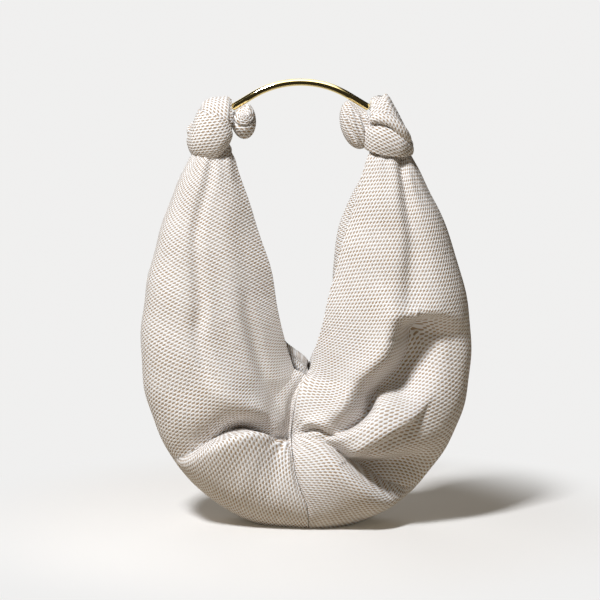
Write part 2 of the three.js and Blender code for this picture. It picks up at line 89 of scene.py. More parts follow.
# Rolled hem at the middle of the back edge
HEM_ROLL = 18.0
HEM_SLOPE = 9.0
HEM_IN = (0.88, 0.94)
HEM_TOP = (0.95, 1.0)
HEM_OUT = (0.5, 0.34)

# Middle seam of the front, Z and X, and the gather on it with its pleats and pit
SEAM_PATH = [(0, 4), (26, 1), (41, -5), (61, -11), (84, -14), (97, -15), (106, -14), (127, -10),
             (140, -5), (149, 0)]
SEAM_REACH = 60.0
SEAM_RANGE = (0.0, 0.35)
GATHER_X = -15.0
GATHER_Z = 97.0
GATHER_DEPTH = 24.0
GATHER_RADIUS = 36.0
PLEAT_HEIGHT = 1.3
PLEAT_COUNT = 13
PLEAT_PHASE = 0.8
PLEAT_START = (3.0, 10.0)
PLEAT_REACH = 21.0
PIT_DEPTH = 9.0
PIT_RADIUS = 13.0

# Handle, and the cloth wound round each of its eyes
TUBE_RADIUS = 3.5
TUBE_BORE = 2.5
TUBE_BEVEL = 0.35
ARCH_RADIUS = 93.0
ARCH_HALF_ANGLE = math.radians(31)
AXIS_Z = NECK_Z + 39.7
EYE_HALF_SPAN = NECK_SPAN / 2 - 15.25
EYE_RADIUS = 7.6
SHANK_REACH = 6.0
WRAP_RADIUS = 22.3
WRAP_INWARD = 4.0
WRAP_OUTWARD = {-1: 26.0, 1: 12.0}

# Numbers of points
LOW_ROWS = 210
ARM_ROWS = 80
FRONT_COLS = 165
BACK_COLS = 60
SHELL_RIM = 6
BAND_STEPS = 90
BAND_SIDES = 36
LOBE_ROWS = 64
LOBE_SIDES = 80
FOLD_ROWS = 44
FOLD_COLS = 64
WRAP_ROWS = 44
WRAP_SIDES = 96
TUBE_STEPS = 181
TUBE_SIDES = 48


def smoothstep(low, high, x):
    share = np.clip((x - low) / (high - low), 0, 1)
    return share * share * (3 - 2 * share)


def window(comes, goes, x):
    return smoothstep(*comes, x) * smoothstep(*goes, x)


def unit(vectors):
    return vectors / np.maximum(np.linalg.norm(vectors, axis=-1, keepdims=True), 1e-9)


def smooth_path(rows, count):
    """Catmull-Rom curve through rows of numbers, with as many points in each span."""
    points = np.asarray(rows, float)
    points = np.vstack([2 * points[0] - points[1], points, 2 * points[-1] - points[-2]])
    place = np.linspace(0, len(points) - 3, count)
    span = np.minimum(place.astype(int), len(points) - 4)
    f = (place - span)[:, None]
    a, b, c, d = (points[span + k] for k in range(4))
    square = (2 * a - 5 * b + 4 * c - d) * f ** 2
    cube = (3 * b - a - 3 * c + d) * f ** 3
    return 0.5 * (2 * b + (c - a) * f + square + cube)


# Blend of two stretches of a path that are about as near
BLEND_WIDTH = 5.0
BLEND_GROWTH = 0.6
BLEND_FROM = 6.0
BLEND_RANGE = (2.0, 12.0)


def nearest_on(path, x, z):
    """Signed distance to a path, positive on its left, the values there, and how far past an end."""
    shape = x.shape
    x = x.ravel()[:, None]
    z = z.ravel()[:, None]
    start = path[:-1]
    change = path[1:] - start
    run_x, run_z = change[:, :2].T
    length = np.hypot(run_x, run_z)
    off_x = x - start[:, 0]
    off_z = z - start[:, 1]
    share = (off_x * run_x + off_z * run_z) / length ** 2
    held = np.clip(share, 0, 1)
    away = np.hypot(off_x - held * run_x, off_z - held * run_z)
    side = np.where(run_x * off_z - run_z * off_x >= 0, 1.0, -1.0)
    best = away.argmin(1)
    pick = np.arange(len(best)), best
    least = away[pick]
    spread = BLEND_WIDTH ** 2 + BLEND_GROWTH * BLEND_WIDTH * least[:, None]
    weight = np.exp(-((away ** 2 - least[:, None] ** 2) / spread))
    weight /= weight.sum(1, keepdims=True)
    columns = range(2, path.shape[1])
    values = np.stack([(weight * (start[:, k] + held * change[:, k])).sum(1) for k in columns], -1)
    blended = np.where(least > BLEND_FROM, (weight * away).sum(1), least)
    signed = side[pick] * (least + smoothstep(*BLEND_RANGE, least) * (blended - least))
    share = share[pick]
    before = np.where((best == 0) & (share < 0), -share * length[best], 0)
    after = np.where((best == len(start) - 1) & (share > 1), (share - 1) * length[best], 0)
    return signed.reshape(shape), values.reshape(shape + (-1,)), (before + after).reshape(shape)


# Creases of the front, each with a rolled edge on its left and a valley on its right:
# X, Z, rise, dip, width of the rise, width of the dip
CREASES = {
    "left": [(-16, 95, 2, 4, 18, 6), (-24, 92.5, 4, 8, 22, 8), (-31, 92, 6, 12, 26, 10),
        (-41, 97, 8, 18, 30, 13), (-55, 102, 11, 24, 36, 15), (-67, 100.5, 11, 24, 38, 16),
        (-79, 96.5, 10, 20, 38, 17), (-98, 86, 8, 13, 36, 18), (-113, 75, 5, 7, 32, 18),
        (-125, 68, 2.5, 3, 28, 16), (-135, 63, 0, 0, 24, 14)],
    "seam": [(4, 160, 0, 0, 14, 5), (0, 150, 2, 2, 18, 5), (-10, 131, 4, 5, 20, 6),
        (-14, 106, 4, 6, 20, 6), (-16, 96, 3, 4, 18, 6)],
    "arc": [(-7, 97, 0, 1, 8, 3), (2, 102, 5, 9, 11, 3.5), (13, 103, 5, 10, 11, 4), (26, 98, 0, 2, 9, 4)],
    "flap": [(67, 140, 1, 3, 14, 9), (65, 128, 9, 10, 19, 11), (58, 115, 10, 11, 22, 11),
        (47, 106, 9, 9, 22, 10), (34, 99, 6, 6, 20, 8), (19, 94, 2, 2, 16, 5)],
    "lower": [(130, 44, 0, 0, 20, 12), (112, 35, 2, 4, 24, 15), (96, 33, 5, 10, 28, 17),
        (81.5, 36, 9, 16, 32, 18), (65, 48, 12, 19, 34, 17), (43, 68, 9, 14, 32, 13),
        (21, 85, 5, 7, 26, 8), (7, 92, 2, 2, 20, 6)],
    "shoulder": [(88, 197, 0, 2, 14, 10), (97, 206, 4, 9, 20, 16), (109, 212, 6, 12, 22, 19),
        (123, 214, 5, 10, 22, 20), (137, 212, 2, 4, 20, 18), (147, 208, 0, 0, 18, 16)],
    "turn": [(38, 71, 0, 1, 9, 6), (48, 75, 3, 6, 12, 9), (62, 86, 4, 9, 14, 11), (86, 101, 4, 8, 16, 12),
        (108, 115, 2, 4, 16, 12), (125, 131, 0, 0, 14, 11)],
}

# Ridges of the front, or valleys where the height is negative:
# X, Z, height, width on its left, width on its right
RIDGES = {
    "left arm": [(-106, 196, 1, 16, 16), (-95, 166, 4, 16, 16), (-82, 142, 8, 16, 16),
        (-66, 126, 10, 14, 14), (-51, 117, 11, 12, 13), (-40, 108, 8, 10, 11), (-29, 100, 3, 8, 9)],
    "left outer": [(-92, 362, -2, 6, 6), (-107, 300, -4, 6, 7), (-105, 251, -5, 6, 9),
        (-103, 221, -6, 6, 10), (-105, 195, -6, 6, 10), (-97, 163, -5, 6, 10), (-87, 145, -2, 6, 8),
        (-80, 136, 0, 6, 8)],
    "left middle": [(-79, 362, 1, 9, 9), (-76, 279, 2, 11, 11), (-66, 201, 3.5, 12, 12),
        (-43, 138, 2, 9, 9), (-30, 118, 0, 9, 9)],
    "left inner": [(-62, 240, 0, 6, 8), (-57, 215, -3, 5, 9), (-50, 193, -5, 5, 10),
        (-40, 155, -5, 5, 10), (-31, 135, -4, 5, 9), (-24, 115, -1, 5, 8)],
    "seam": [(-15.5, 95, -6, 3, 3), (-14, 83, -6.5, 2.6, 2.6), (-11.5, 63, -5.5, 2.4, 2.4),
        (-5.5, 42, -4, 2.4, 2.4), (1, 26, -2, 2.4, 2.4), (3, 12, 0, 2.4, 2.4)],
    "right hollow": [(33, 105, -3, 7, 7), (47, 113, -10, 9, 9), (56, 124, -22, 11, 12),
        (61, 138, -29, 12, 14), (75, 151, -29, 12, 20), (91, 161, -34, 13, 38), (102, 178, -37, 14, 47),
        (107, 200, -33, 15, 46)],
    "right arm": [(104, 225, -6, 12, 22), (104, 252, -8, 11, 20), (105, 285, -7, 9, 16),
        (102, 315, -5, 7, 10), (98, 345, 0, 6, 8)],
    "right flap": [(80, 236, 2, 13, 17), (85, 209, 7, 12, 17), (81, 185, 10, 11, 17),
        (72, 165, 12, 10, 16), (60, 149, 13, 10, 16), (48, 135, 11, 10, 15), (35, 120, 8, 9, 13),
        (20, 108, 4, 8, 10), (4, 102, 1, 8, 8)],
    "right flank": [(152, 206, 1, 16, 14), (143, 180, 2, 18, 16), (130, 153, 3, 17, 18),
        (112, 128, 5, 15, 18), (91, 107, 6, 12, 17), (67, 91, 6, 9, 14), (46, 80, 5, 8, 12),
        (32, 82, 0, 7, 9)],
    "lower hollow": [(22, 86, -3, 7, 7), (45, 69, -12, 8, 8), (64, 62, -25, 12, 12),
        (86, 57, -29, 17, 16), (107, 60, -23, 20, 18), (128, 70, -9, 20, 18), (144, 82, 0, 18, 16)],
    "base": [(-44, 95, 1.5, 9, 9), (-55, 61, 2.5, 9, 9), (-60, 31, 0, 9, 9)],
    "base valley": [(-26, 93, -1.5, 8, 8), (-31, 61, -2, 8, 8), (-36, 26, 0, 8, 8)],
    "right neck": [(94, 374, -7, 3.5, 4), (97, 350, -6, 4, 5), (99, 330, -4, 6, 7), (100, 299, 0, 9, 9)],
}
CREASE_PATHS = {name: smooth_path(rows, 7 * len(rows)) for name, rows in CREASES.items()}
RIDGE_PATHS = {name: smooth_path(rows, 5 * len(rows)) for name, rows in RIDGES.items()}
FOLD_REACH = 75.0
EDGE_ROUND = 2.4
EDGE_TURN = (-2.6, 1.2)
CREASE_END = 9.0
RIDGE_END = 12.0


def crease_height(path, x, z):
    away, values, past = nearest_on(path, x, z)
    rise, dip, rise_width, dip_width = np.moveaxis(values, -1, 0)
    up = np.clip(away, 0, None)
    edge = rise * (1 - np.exp(-up / EDGE_ROUND)) * np.exp(-(up / rise_width) ** 2)
    valley = -dip * np.exp(-(away / dip_width) ** 2)
    share = smoothstep(*EDGE_TURN, away)
    return (share * edge + (1 - share) * valley) * np.exp(-(past / CREASE_END) ** 2)


def ridge_height(path, x, z):
    away, values, past = nearest_on(path, x, z)
    height, left_width, right_width = np.moveaxis(values, -1, 0)
    width = np.where(away > 0, left_width, right_width)
    return height * np.exp(-(away / width) ** 2 - (past / RIDGE_END) ** 2)


def front_folds(x, z):
    """How far the cloth stands out from its plain form at points of the front."""
    height = np.zeros(x.shape)
    for fold, paths in ((crease_height, CREASE_PATHS), (ridge_height, RIDGE_PATHS)):
        for path in paths.values():
            low = path[:, :2].min(0) - FOLD_REACH
            high = path[:, :2].max(0) + FOLD_REACH
            near = (x > low[0]) & (x < high[0]) & (z > low[1]) & (z < high[1])
            if near.any():
                height[near] += fold(path, x[near], z[near])
    away = np.hypot(x - GATHER_X, z - GATHER_Z)
    around = np.arctan2(z - GATHER_Z, x - GATHER_X)
    pleats = PLEAT_HEIGHT * np.cos(PLEAT_COUNT * around + PLEAT_PHASE) * smoothstep(*PLEAT_START, away)
    pleats *= np.exp(-(away / PLEAT_REACH) ** 2)
    return height + pleats - PIT_DEPTH * np.exp(-(away / PIT_RADIUS) ** 2)


def outer_edge(side, s):
    """Outer outline in X and Z: a quarter ellipse from the base to the widest place, then the arm."""
    turn = np.minimum(s / ARM_SHARE, 1) * math.pi / 2
    rise = np.clip((s - ARM_SHARE) / (1 - ARM_SHARE), 0, None)
    neck_edge = side * NECK_SHIFT + (NECK_SPAN + NECK_WIDTH) / 2
    lean = math.acos(neck_edge / HALF_WIDTH)
    low = s <= ARM_SHARE
    x = HALF_WIDTH * np.where(low, np.sin(turn), np.cos(rise * lean))
    base_z = WIDEST_Z - (WIDEST_Z + BASE_SINK) * np.cos(turn)
    arm_z = WIDEST_Z + (NECK_Z - WIDEST_Z) * rise
    return side * x, np.where(low, base_z, arm_z)


def mouth_edge(side, s, back):
    """Mouth edge in X and Z, the front one where back is 0 and the back one where it is 1."""
    share = s * s
    low_z = MOUTH_Z + BACK_RISE * back
    neck_x = NECK_SHIFT + side * (NECK_SPAN - NECK_WIDTH) / 2
    front_bow = FRONT_BOW[side] * window(*FRONT_BOW_RANGE, share)
    back_bow = BACK_BOW[side] * window(*BACK_BOW_RANGE, share)
    bow = front_bow + back * (back_bow - front_bow)
    vertex = BACK_VERTEX * back * smoothstep(*BACK_VERTEX_OUT, share)
    x = MOUTH_X + vertex + (share + bow) * (neck_x - MOUTH_X)
    return x, low_z + share * (NECK_Z - low_z)


def plain_shell(side, s, t):
    """Plain outer form. s runs from the base, 0, to the neck, 1, and beyond it into the knot.
    t runs from the front mouth edge, -1, to the back one, 1."""
    beyond = np.clip(s - 1, 0, None)
    s = np.minimum(s, 1)
    edge = np.abs(t)
    rest = 1 - edge
    back = (t > 0).astype(float)
    arm = smoothstep(*ARM_RANGE, s)
    fall = 1 - s * s
    deep = (NECK_DEPTH + (BODY_DEPTH - NECK_DEPTH) * fall ** DEPTH_POWER) / 2
    gap = (NECK_GAP + (MOUTH_GAP - NECK_GAP) * fall) / 2
    share = 1 - 3 * rest * edge * edge * SIDE_PULL - edge ** 3
    outer_x, outer_z = outer_edge(side, s)
    mouth_x, mouth_z = mouth_edge(side, s, back)
    x = mouth_x + share * (outer_x - mouth_x)
    z = mouth_z + share * (outer_z - mouth_z)
    front = (t < 0) * smoothstep(*SEAM_RANGE, edge)
    seam = np.interp(z, *zip(*SEAM_PATH))
    x = x + front * seam * np.exp(-(x / SEAM_REACH) ** 2)
    roll = arm if side < 0 else RIGHT_ROLL * window(*RIGHT_ROLL_RANGE, s)
    x = x - back * BACK_ROLL * ROLL_PEAK * edge ** 4 * rest * roll
    x = x + back * side * BACK_SPREAD * edge ** 6 * arm
    off_x = np.where(t < 0, x - GATHER_X, x)
    dimple = np.exp(-(off_x ** 2 + (z - GATHER_Z) ** 2) / GATHER_RADIUS ** 2)
    y = 3 * rest * edge * FACE_SWELL * deep + edge ** 3 * gap - GATHER_DEPTH * dimple * edge
    y = np.sign(t) * y - SLIT_SHIFT * edge ** 3 * arm - back * MOUTH_CLOSE * edge ** 16 * (1 - arm)
    z = np.maximum(z, 0)
    neck_x = NECK_SHIFT + side * NECK_SPAN / 2
    narrow = 1 - NECK_NARROWING * beyond
    return np.stack([neck_x + (x - neck_x) * narrow, y * narrow, z + NECK_REACH * beyond], -1)


def above(points, least):
    """Points lifted to a least Z."""
    return np.maximum(points, (-np.inf, -np.inf, least))


def length_along(points, axis):
    """Length run over a grid of points along one of its axes."""
    first = points[:1] if axis == 0 else points[:, :1]
    return np.cumsum(np.linalg.norm(np.diff(points, axis=axis, prepend=first), axis=2), axis=axis)


def grid_frame(side, points):
    """Unit vectors along t and outward over a grid of points."""
    along_s = unit(np.gradient(points, axis=0))
    along_t = unit(np.gradient(points, axis=1))
    return along_t, unit(-side * np.cross(along_s, along_t))


# Folds at the mouth edges and on the back, gathers below the necks, and slight waves of the cloth
FOLD_RANGE = (0.04, 0.25)
BACK_FOLDS = 0.5
NECK_GATHER = 0.6
NECK_GATHER_COUNT = 5.5
NECK_GATHER_PHASE = 1.1
NECK_GATHER_REACH = 30.0
SLOW_WAVE = 0.5
QUICK_WAVE = 0.4

# Steps in s and t at which a layer behind the shell looks for the shell's deepest point
NEAR_S = 0.012
NEAR_T = 0.02
CORNER = 1.25
NEARBY = [(NEAR_S * a, NEAR_T * b) for a, b in ((1, 0), (-1, 0), (0, 1), (0, -1))]
NEARBY += [(2 * step_s, 2 * step_t) for step_s, step_t in NEARBY]
NEARBY += [(CORNER * NEAR_S * a, CORNER * NEAR_T * b) for a in (1, -1) for b in (1, -1)]


def fold_height(side, t, plain):
    """Height of the folds over the plain form."""
    plain_x = plain[..., 0]
    z = plain[..., 2]
    x = np.where(t < 0, plain_x, GATHER_X - plain_x)
    height = front_folds(x, z) * np.where(t < 0, 1.0, BACK_FOLDS) * smoothstep(*FOLD_RANGE, np.abs(t))
    down = np.clip(NECK_Z - z, 0, None)
    gathers = np.cos(2 * math.pi * NECK_GATHER_COUNT * t + NECK_GATHER_PHASE * side)
    height += NECK_GATHER * gathers * np.exp(-down / NECK_GATHER_REACH)
    slow = np.sin(plain_x / 11 + 2 * np.sin(z / 37)) * np.sin(z / 17 + 1.7)
    quick = np.sin(z / 9 + plain_x / 23)
    return height + SLOW_WAVE * slow + QUICK_WAVE * quick


def draped(side, s, t, behind=False):
    """Outer face of the shell with its folds, and the plain form's outward normals. A layer behind
    keeps to the deepest point of the shell near it."""
    plain = plain_shell(side, s, t)
    _, normal = grid_frame(side, plain)
    height = fold_height(side, t, plain)
    if behind:
        for step_s, step_t in NEARBY:
            near_s = np.clip(s + step_s, 0, 1)
            near_t = np.clip(t + step_t, -1, 1)
            near_height = fold_height(side, near_t, plain_shell(side, near_s, near_t))
            height = np.minimum(height, near_height)
    return above(plain + normal * height[..., None], FLOOR_CLEARANCE), normal


# Direction of the weave's rows on the front, in X and Z and degrees, by the area between creases
WEAVE = {
    (-1, "upper"): [(-143, 279, 3), (-89, 230, 2), (-65, 191, 2), (-74, 270, -5), (-104, 151, 18),
        (-139, 191, 13), (-144, 131, 17), (-55, 151, 10), (-113, 328, 0), (-100, 110, 22),
        (-30, 110, 14)],
    (-1, "lower"): [(-75, 71, 96), (-46, 61, 97), (-26, 51, 101), (-105, 61, 92), (-60, 20, 98)],
    (1, "upper"): [(93, 101, -5), (122, 111, -2), (23, 210, 39), (9, 141, 37), (43, 279, 46),
        (121, 279, 34), (112, 210, 20), (92, 309, 28), (63, 230, 43), (63, 95, 5), (140, 170, 12)],
    (1, "lower"): [(4, 61, -50), (43, 51, -55), (4, 91, -46), (73, 26, -52), (100, 25, -48)],
}
WEAVE_SOFTNESS = 60.0
WEAVE_POWER = 1.5

# How far the cloth of a rolled edge reaches into its valley, and how sharp the change is
WEAVE_CUT = 3.0
CUT_WIDTH = 0.5
CUT_SPREAD = 0.8

# Limits of t and of a normal's Y for reading the rows, and the grid rows that smooth a held angle
ZONE_EDGE = -0.06
STEEPEST = -0.25
FACES_FRONT = -0.45
HOLD_SPAN = 31

# Both ends of the steps along the two axes of a grid, and the rounds of the solution
GRID_STEPS = ((np.s_[:-1], np.s_[1:]), (np.s_[:, :-1], np.s_[:, 1:]))
WEAVE_ROUNDS = 4
RELAX_ROUNDS = 900
RELAX_LIMIT = 1e-7
RELAX_HOLD = 1e-6


def row_angle(side, x, z):
    """Weave direction in radians, and which side of the dividing crease a point is on."""
    path = CREASE_PATHS["left" if side < 0 else "lower"]
    away, _, past = nearest_on(path, x, z)
    away = away + WEAVE_CUT
    share = smoothstep(-1, 1, away / (CUT_WIDTH + CUT_SPREAD * past))
    total = np.zeros(x.shape)
    for area, weight in (("upper", 1 - share), ("lower", share)):
        points = np.array(WEAVE[side, area], float)
        square = (x[..., None] - points[:, 0]) ** 2 + (z[..., None] - points[:, 1]) ** 2
        near = 1 / (square + WEAVE_SOFTNESS) ** WEAVE_POWER
        total += weight * (near * points[:, 2]).sum(-1) / near.sum(-1)
    return np.radians(total), np.where(past > 0, 0, np.sign(away))


def row_turn(side, s, t):
    """Angle of the rows from the t direction, held where the cloth turns away from the front, and
    which side of the dividing crease a point is on."""
    plain = plain_shell(side, s, t)
    along_t, normal = grid_frame(side, plain)
    angle, zone = row_angle(side, plain[..., 0], plain[..., 2])
    zone = np.where(t < ZONE_EDGE, zone, 0)
    normal_y = np.minimum(normal[..., 1], STEEPEST)
    run_y = -(normal[..., 0] * np.cos(angle) + normal[..., 2] * np.sin(angle)) / normal_y
    run = np.stack([np.cos(angle), run_y, np.sin(angle)], -1)
    turn = np.arctan2((run * np.cross(normal, along_t)).sum(-1), (run * along_t).sum(-1))
    columns = np.arange(t.shape[1])
    faces_front = (normal[..., 1] < FACES_FRONT) & (t < 0)
    last = np.argmax(np.where(faces_front, columns, 0), axis=1)
    held = np.unwrap(turn[np.arange(len(last)), last])
    held = np.pad(held, HOLD_SPAN // 2, mode="edge")
    held = np.convolve(held, np.ones(HOLD_SPAN) / HOLD_SPAN, mode="valid")
    return np.where(columns > last[:, None], held[:, None], turn), zone


def weave_map(side, s, t, points):
    """Cloth coordinates in millimetres that follow the row directions over the draped grid."""
    turn, zone = row_turn(side, s, t)
    along_t, normal = grid_frame(side, points)
    along = np.cos(turn)[..., None] * along_t + np.sin(turn)[..., None] * np.cross(normal, along_t)
    over = np.cross(normal, along)
    steps = [points[high] - points[low] for low, high in GRID_STEPS]
    kept = [(zone[high] * zone[low] >= 0) * 1.0 for low, high in GRID_STEPS]
    uv = np.zeros(s.shape + (2,))
    for _ in range(WEAVE_ROUNDS):
        for k, field in enumerate((along, over)):
            ends = [field[high] + field[low] for low, high in GRID_STEPS]
            want = [0.5 * (both * step).sum(-1) for both, step in zip(ends, steps)]
            uv[..., k] = relax(want, kept, uv[..., k])
        swing = weave_swing(uv, along, over, steps, kept)[..., None]
        turned_along = np.cos(swing) * along - np.sin(swing) * over
        over = np.sin(swing) * along + np.cos(swing) * over
        along = turned_along
    return uv


def weave_swing(uv, along, over, steps, kept):
    """How far the cloth coordinates are turned, at each point, from the directions asked for."""
    sine = np.zeros(uv.shape[:2])
    cosine = np.zeros(uv.shape[:2])
    for (low, high), step, keep in zip(GRID_STEPS, steps, kept):
        change = (uv[high] - uv[low]) * keep[..., None]
        for end in (low, high):
            a = (step * along[end]).sum(-1)
            b = (step * over[end]).sum(-1)
            sine[end] += a * change[..., 1] - b * change[..., 0]
            cosine[end] += a * change[..., 0] + b * change[..., 1]
    return np.arctan2(sine, cosine)


def relax(want, kept, start):
    """Least-squares heights over a grid from the wanted steps, by conjugate gradients."""
    def spread(steps):
        total = np.zeros(start.shape)
        for (low, high), step, keep in zip(GRID_STEPS, steps, kept):
            total[high] += step * keep
            total[low] -= step * keep
        return total

    def steps_of(heights):
        return [heights[high] - heights[low] for low, high in GRID_STEPS]

    degree = np.full(start.shape, RELAX_HOLD)
    for (low, high), keep in zip(GRID_STEPS, kept):
        degree[high] += keep
        degree[low] += keep
    heights = start.copy()
    rest = spread([wanted - have for wanted, have in zip(want, steps_of(heights))])
    scaled = rest / degree
    search = scaled
    size = (rest * scaled).sum()
    for _ in range(RELAX_ROUNDS):
        change = spread(steps_of(search)) + RELAX_HOLD * search
        reach = size / (search * change).sum()
        heights = heights + reach * search
        rest = rest - reach * change
        scaled = rest / degree
        new_size = (rest * scaled).sum()
        if new_size < RELAX_LIMIT * heights.size:
            break
        search = scaled + new_size / size * search
        size = new_size
    return heights


# Meshes
def ring_quads(index):
    """Quads between the rows of a grid of point numbers, each row a ring."""
    near = index[:-1]
    far = index[1:]
    return np.stack([near, np.roll(near, -1, 1), np.roll(far, -1, 1), far], -1).reshape(-1, 4).tolist()


def closed_rows(grid):
    """Faces of a grid of points, each row a ring, with its ends filled."""
    rows, cols = grid.shape[:2]
    index = np.arange(rows * cols).reshape(rows, cols)
    return ring_quads(index) + [index[0, ::-1].tolist(), index[-1].tolist()]


def add_object(name, data):
    obj = bpy.data.objects.new(name, data)
    bpy.context.scene.collection.objects.link(obj)
    return obj


def add_mesh(name, points, faces, uv, material):
    """Object from millimetre points and polygons, with faces turned out."""
    points = np.asarray(points, float)
    mesh = bpy.data.meshes.new(name)
    mesh.from_pydata((points * MILLIMETRE).tolist(), [], [tuple(int(i) for i in face) for face in faces])
    if uv is not None:
        layer = mesh.uv_layers.new(name="cloth")
        loops = np.zeros(len(mesh.loops), int)
        mesh.loops.foreach_get("vertex_index", loops)
        layer.data.foreach_set("uv", (np.asarray(uv)[loops] * MILLIMETRE).ravel())
    mesh.polygons.foreach_set("use_smooth", [True] * len(mesh.polygons))
    mesh.update()
    mesh.calc_loop_triangles()
    corners = np.zeros(len(mesh.loop_triangles) * 3, int)
    mesh.loop_triangles.foreach_get("vertices", corners)
    a, b, c = (points[corners.reshape(-1, 3)[:, k]] for k in range(3))
    if (a * np.cross(b, c)).sum() < 0:
        mesh.flip_normals()
    mesh.materials.append(material)
    return add_object(name, mesh)


def take_place(obj, body, node):
    """Let a piece ride on a body, in place of a solid."""
    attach(obj, body)
    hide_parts(node)


def thick_sheet(outer, inner, uv, rim=3, rise=None):
    """Closed cloth of two grids: rounded edges along the last axis and flat ends along the first.
    The last edge is rounded upward by the share rise, row by row."""
    rows, cols = outer.shape[:2]

    def rounded(edge, beside, upward):
        middle = (outer[:, edge] + inner[:, edge]) / 2
        lead = unit(outer[:, edge] - outer[:, beside])
        if upward is not None:
            lead = unit(lead + upward[:, None] * (np.array([0, 0, 1.0]) - lead))
        spoke = outer[:, edge] - middle
        half = np.linalg.norm(spoke, axis=-1, keepdims=True)
        turns = [math.pi * (k + 1) / (rim + 1) for k in range(rim)]
        return np.stack([middle + spoke * math.cos(a) + lead * half * math.sin(a) for a in turns], 1)

    last_edge = rounded(-1, -2, rise)
    first_edge = rounded(0, 1, None)
    ring = np.concatenate([outer, last_edge, inner[:, ::-1], first_edge[:, ::-1]], 1)
    columns = [*range(cols), *[cols - 1] * rim, *range(cols - 1, -1, -1), *[0] * rim]
    ring_uv = uv[:, columns]
    index = np.arange(rows * ring.shape[1]).reshape(rows, -1)
    faces = ring_quads(index)
    for row, flip in ((0, True), (-1, False)):
        line = index[row]
        one = line[:cols]
        other = line[cols + rim:2 * cols + rim][::-1]
        ends = np.stack([one[:-1], one[1:], other[1:], other[:-1]], -1).tolist()
        ends.append(line[cols - 1:cols + rim + 1].tolist())
        ends.append(line[2 * cols + rim - 1:].tolist() + [line[0]])
        faces += [end[::-1] if flip else end for end in ends]
    return ring.reshape(-1, 3), faces, ring_uv.reshape(-1, 2)


# Shader nodes
def feed(tree, socket, value):
    """Link a socket to the output of another node, or set it to a number, a vector or a colour."""
    if isinstance(value, bpy.types.NodeSocket):
        tree.links.new(value, socket)
    else:
        socket.default_value = (*value, 1) if socket.type == "RGBA" else value


def shader_node(tree, kind, inputs, output=0, **settings):
    """Output of a new node with these settings, and its inputs by name or number."""
    node = tree.nodes.new(kind)
    for name, value in settings.items():
        setattr(node, name, value)
    for place, value in inputs.items():
        feed(tree, node.inputs[place], value)
    return node.outputs[output]


def math_node(tree, operation, *values):
    return shader_node(tree, "ShaderNodeMath", dict(enumerate(values)), operation=operation)


def ramp_node(tree, value, low, high, to_low=0.0, to_high=1.0):
    inputs = {"Value": value, "From Min": low, "From Max": high, "To Min": to_low, "To Max": to_high}
    return shader_node(tree, "ShaderNodeMapRange", inputs, "Result", interpolation_type="SMOOTHSTEP")


def mix_color(tree, factor, a, b):
    """Mix of two colours, whose sockets on a mix node are numbers 6 and 7, and 2 for the result."""
    return shader_node(tree, "ShaderNodeMix", {0: factor, 6: a, 7: b}, 2, data_type="RGBA")


def mix_shader(tree, factor, a, b):
    return shader_node(tree, "ShaderNodeMixShader", {0: factor, 1: a, 2: b})


def noise_node(tree, vector, scale, detail):
    inputs = {"Vector": vector, "Scale": scale, "Detail": detail}
    return shader_node(tree, "ShaderNodeTexNoise", inputs, "Fac")


def bump_node(tree, height, strength, distance):
    inputs = {"Height": height, "Strength": strength, "Distance": distance}
    return shader_node(tree, "ShaderNodeBump", inputs, "Normal")


def ray_node(tree, kind):
    return shader_node(tree, "ShaderNodeLightPath", {}, kind)


def axis_node(tree, vector, axis):
    return shader_node(tree, "ShaderNodeSeparateXYZ", {0: vector}, axis)


def wave(tree, uv, turns):
    """Cosine of a plane wave over the cloth, in turns per millimetre along its two axes."""
    to_radians = 2 * math.pi / MILLIMETRE
    inputs = {0: uv, 1: (turns[0] * to_radians, turns[1] * to_radians, 0)}
    phase = shader_node(tree, "ShaderNodeVectorMath", inputs, "Value", operation="DOT_PRODUCT")
    return math_node(tree, "COSINE", phase)


# Materials. A weave is the sum of two waves, in turns per millimetre, and darkens between two levels.
WOVEN = {"light": (0.895, 0.905, 0.93), "dark": (0.375, 0.258, 0.15), "warp": (0.1153, 0.2364),
         "weft": (-0.1512, 0.3101), "levels": (0.0, 0.95), "depth": 0.0007, "dash": 0.15}
LINING = {"light": (0.56, 0.49, 0.38), "dark": (0.46, 0.39, 0.29), "warp": (0.9, 0.0),
          "weft": (0.0, 0.9), "levels": (0.2, 1.6), "depth": 0.0001, "dash": 0.0}
CLOTH_SURFACE = {"Roughness": 0.88, "Sheen Weight": 0.15, "Sheen Roughness": 0.5,
                 "Specular IOR Level": 0.25}
CLOTH_BUMP = 0.8
CLOTH_RELIEF = 0.25
YARN_SCALE = 900.0
YARN_RAMP = (0.3, 0.75, 0.0, 0.16)
PATCH_SCALE = 35.0
PATCH_RAMP = (0.3, 0.7, 0.8, 1.0)
BRASS = (0.91, 0.73, 0.33)
BRASS_ROUGHNESS = 0.06
SNAP_METAL = (0.74, 0.56, 0.24)
SNAP_ROUGHNESS = 0.25
SCUFF_SCALE = 260.0
SCUFF_RANGE = (0.3, 0.8)
SCUFF_SHARES = (0.8, 1.5)
WAVE_SCALE = 90.0
METAL_BUMP = 0.05
METAL_RELIEF = 0.0002


def new_material(name, color):
    material = bpy.data.materials.new(name)
    material.use_nodes = True
    bsdf = material.node_tree.nodes["Principled BSDF"]
    feed(material.node_tree, bsdf.inputs["Base Color"], color)
    return material, material.node_tree, bsdf


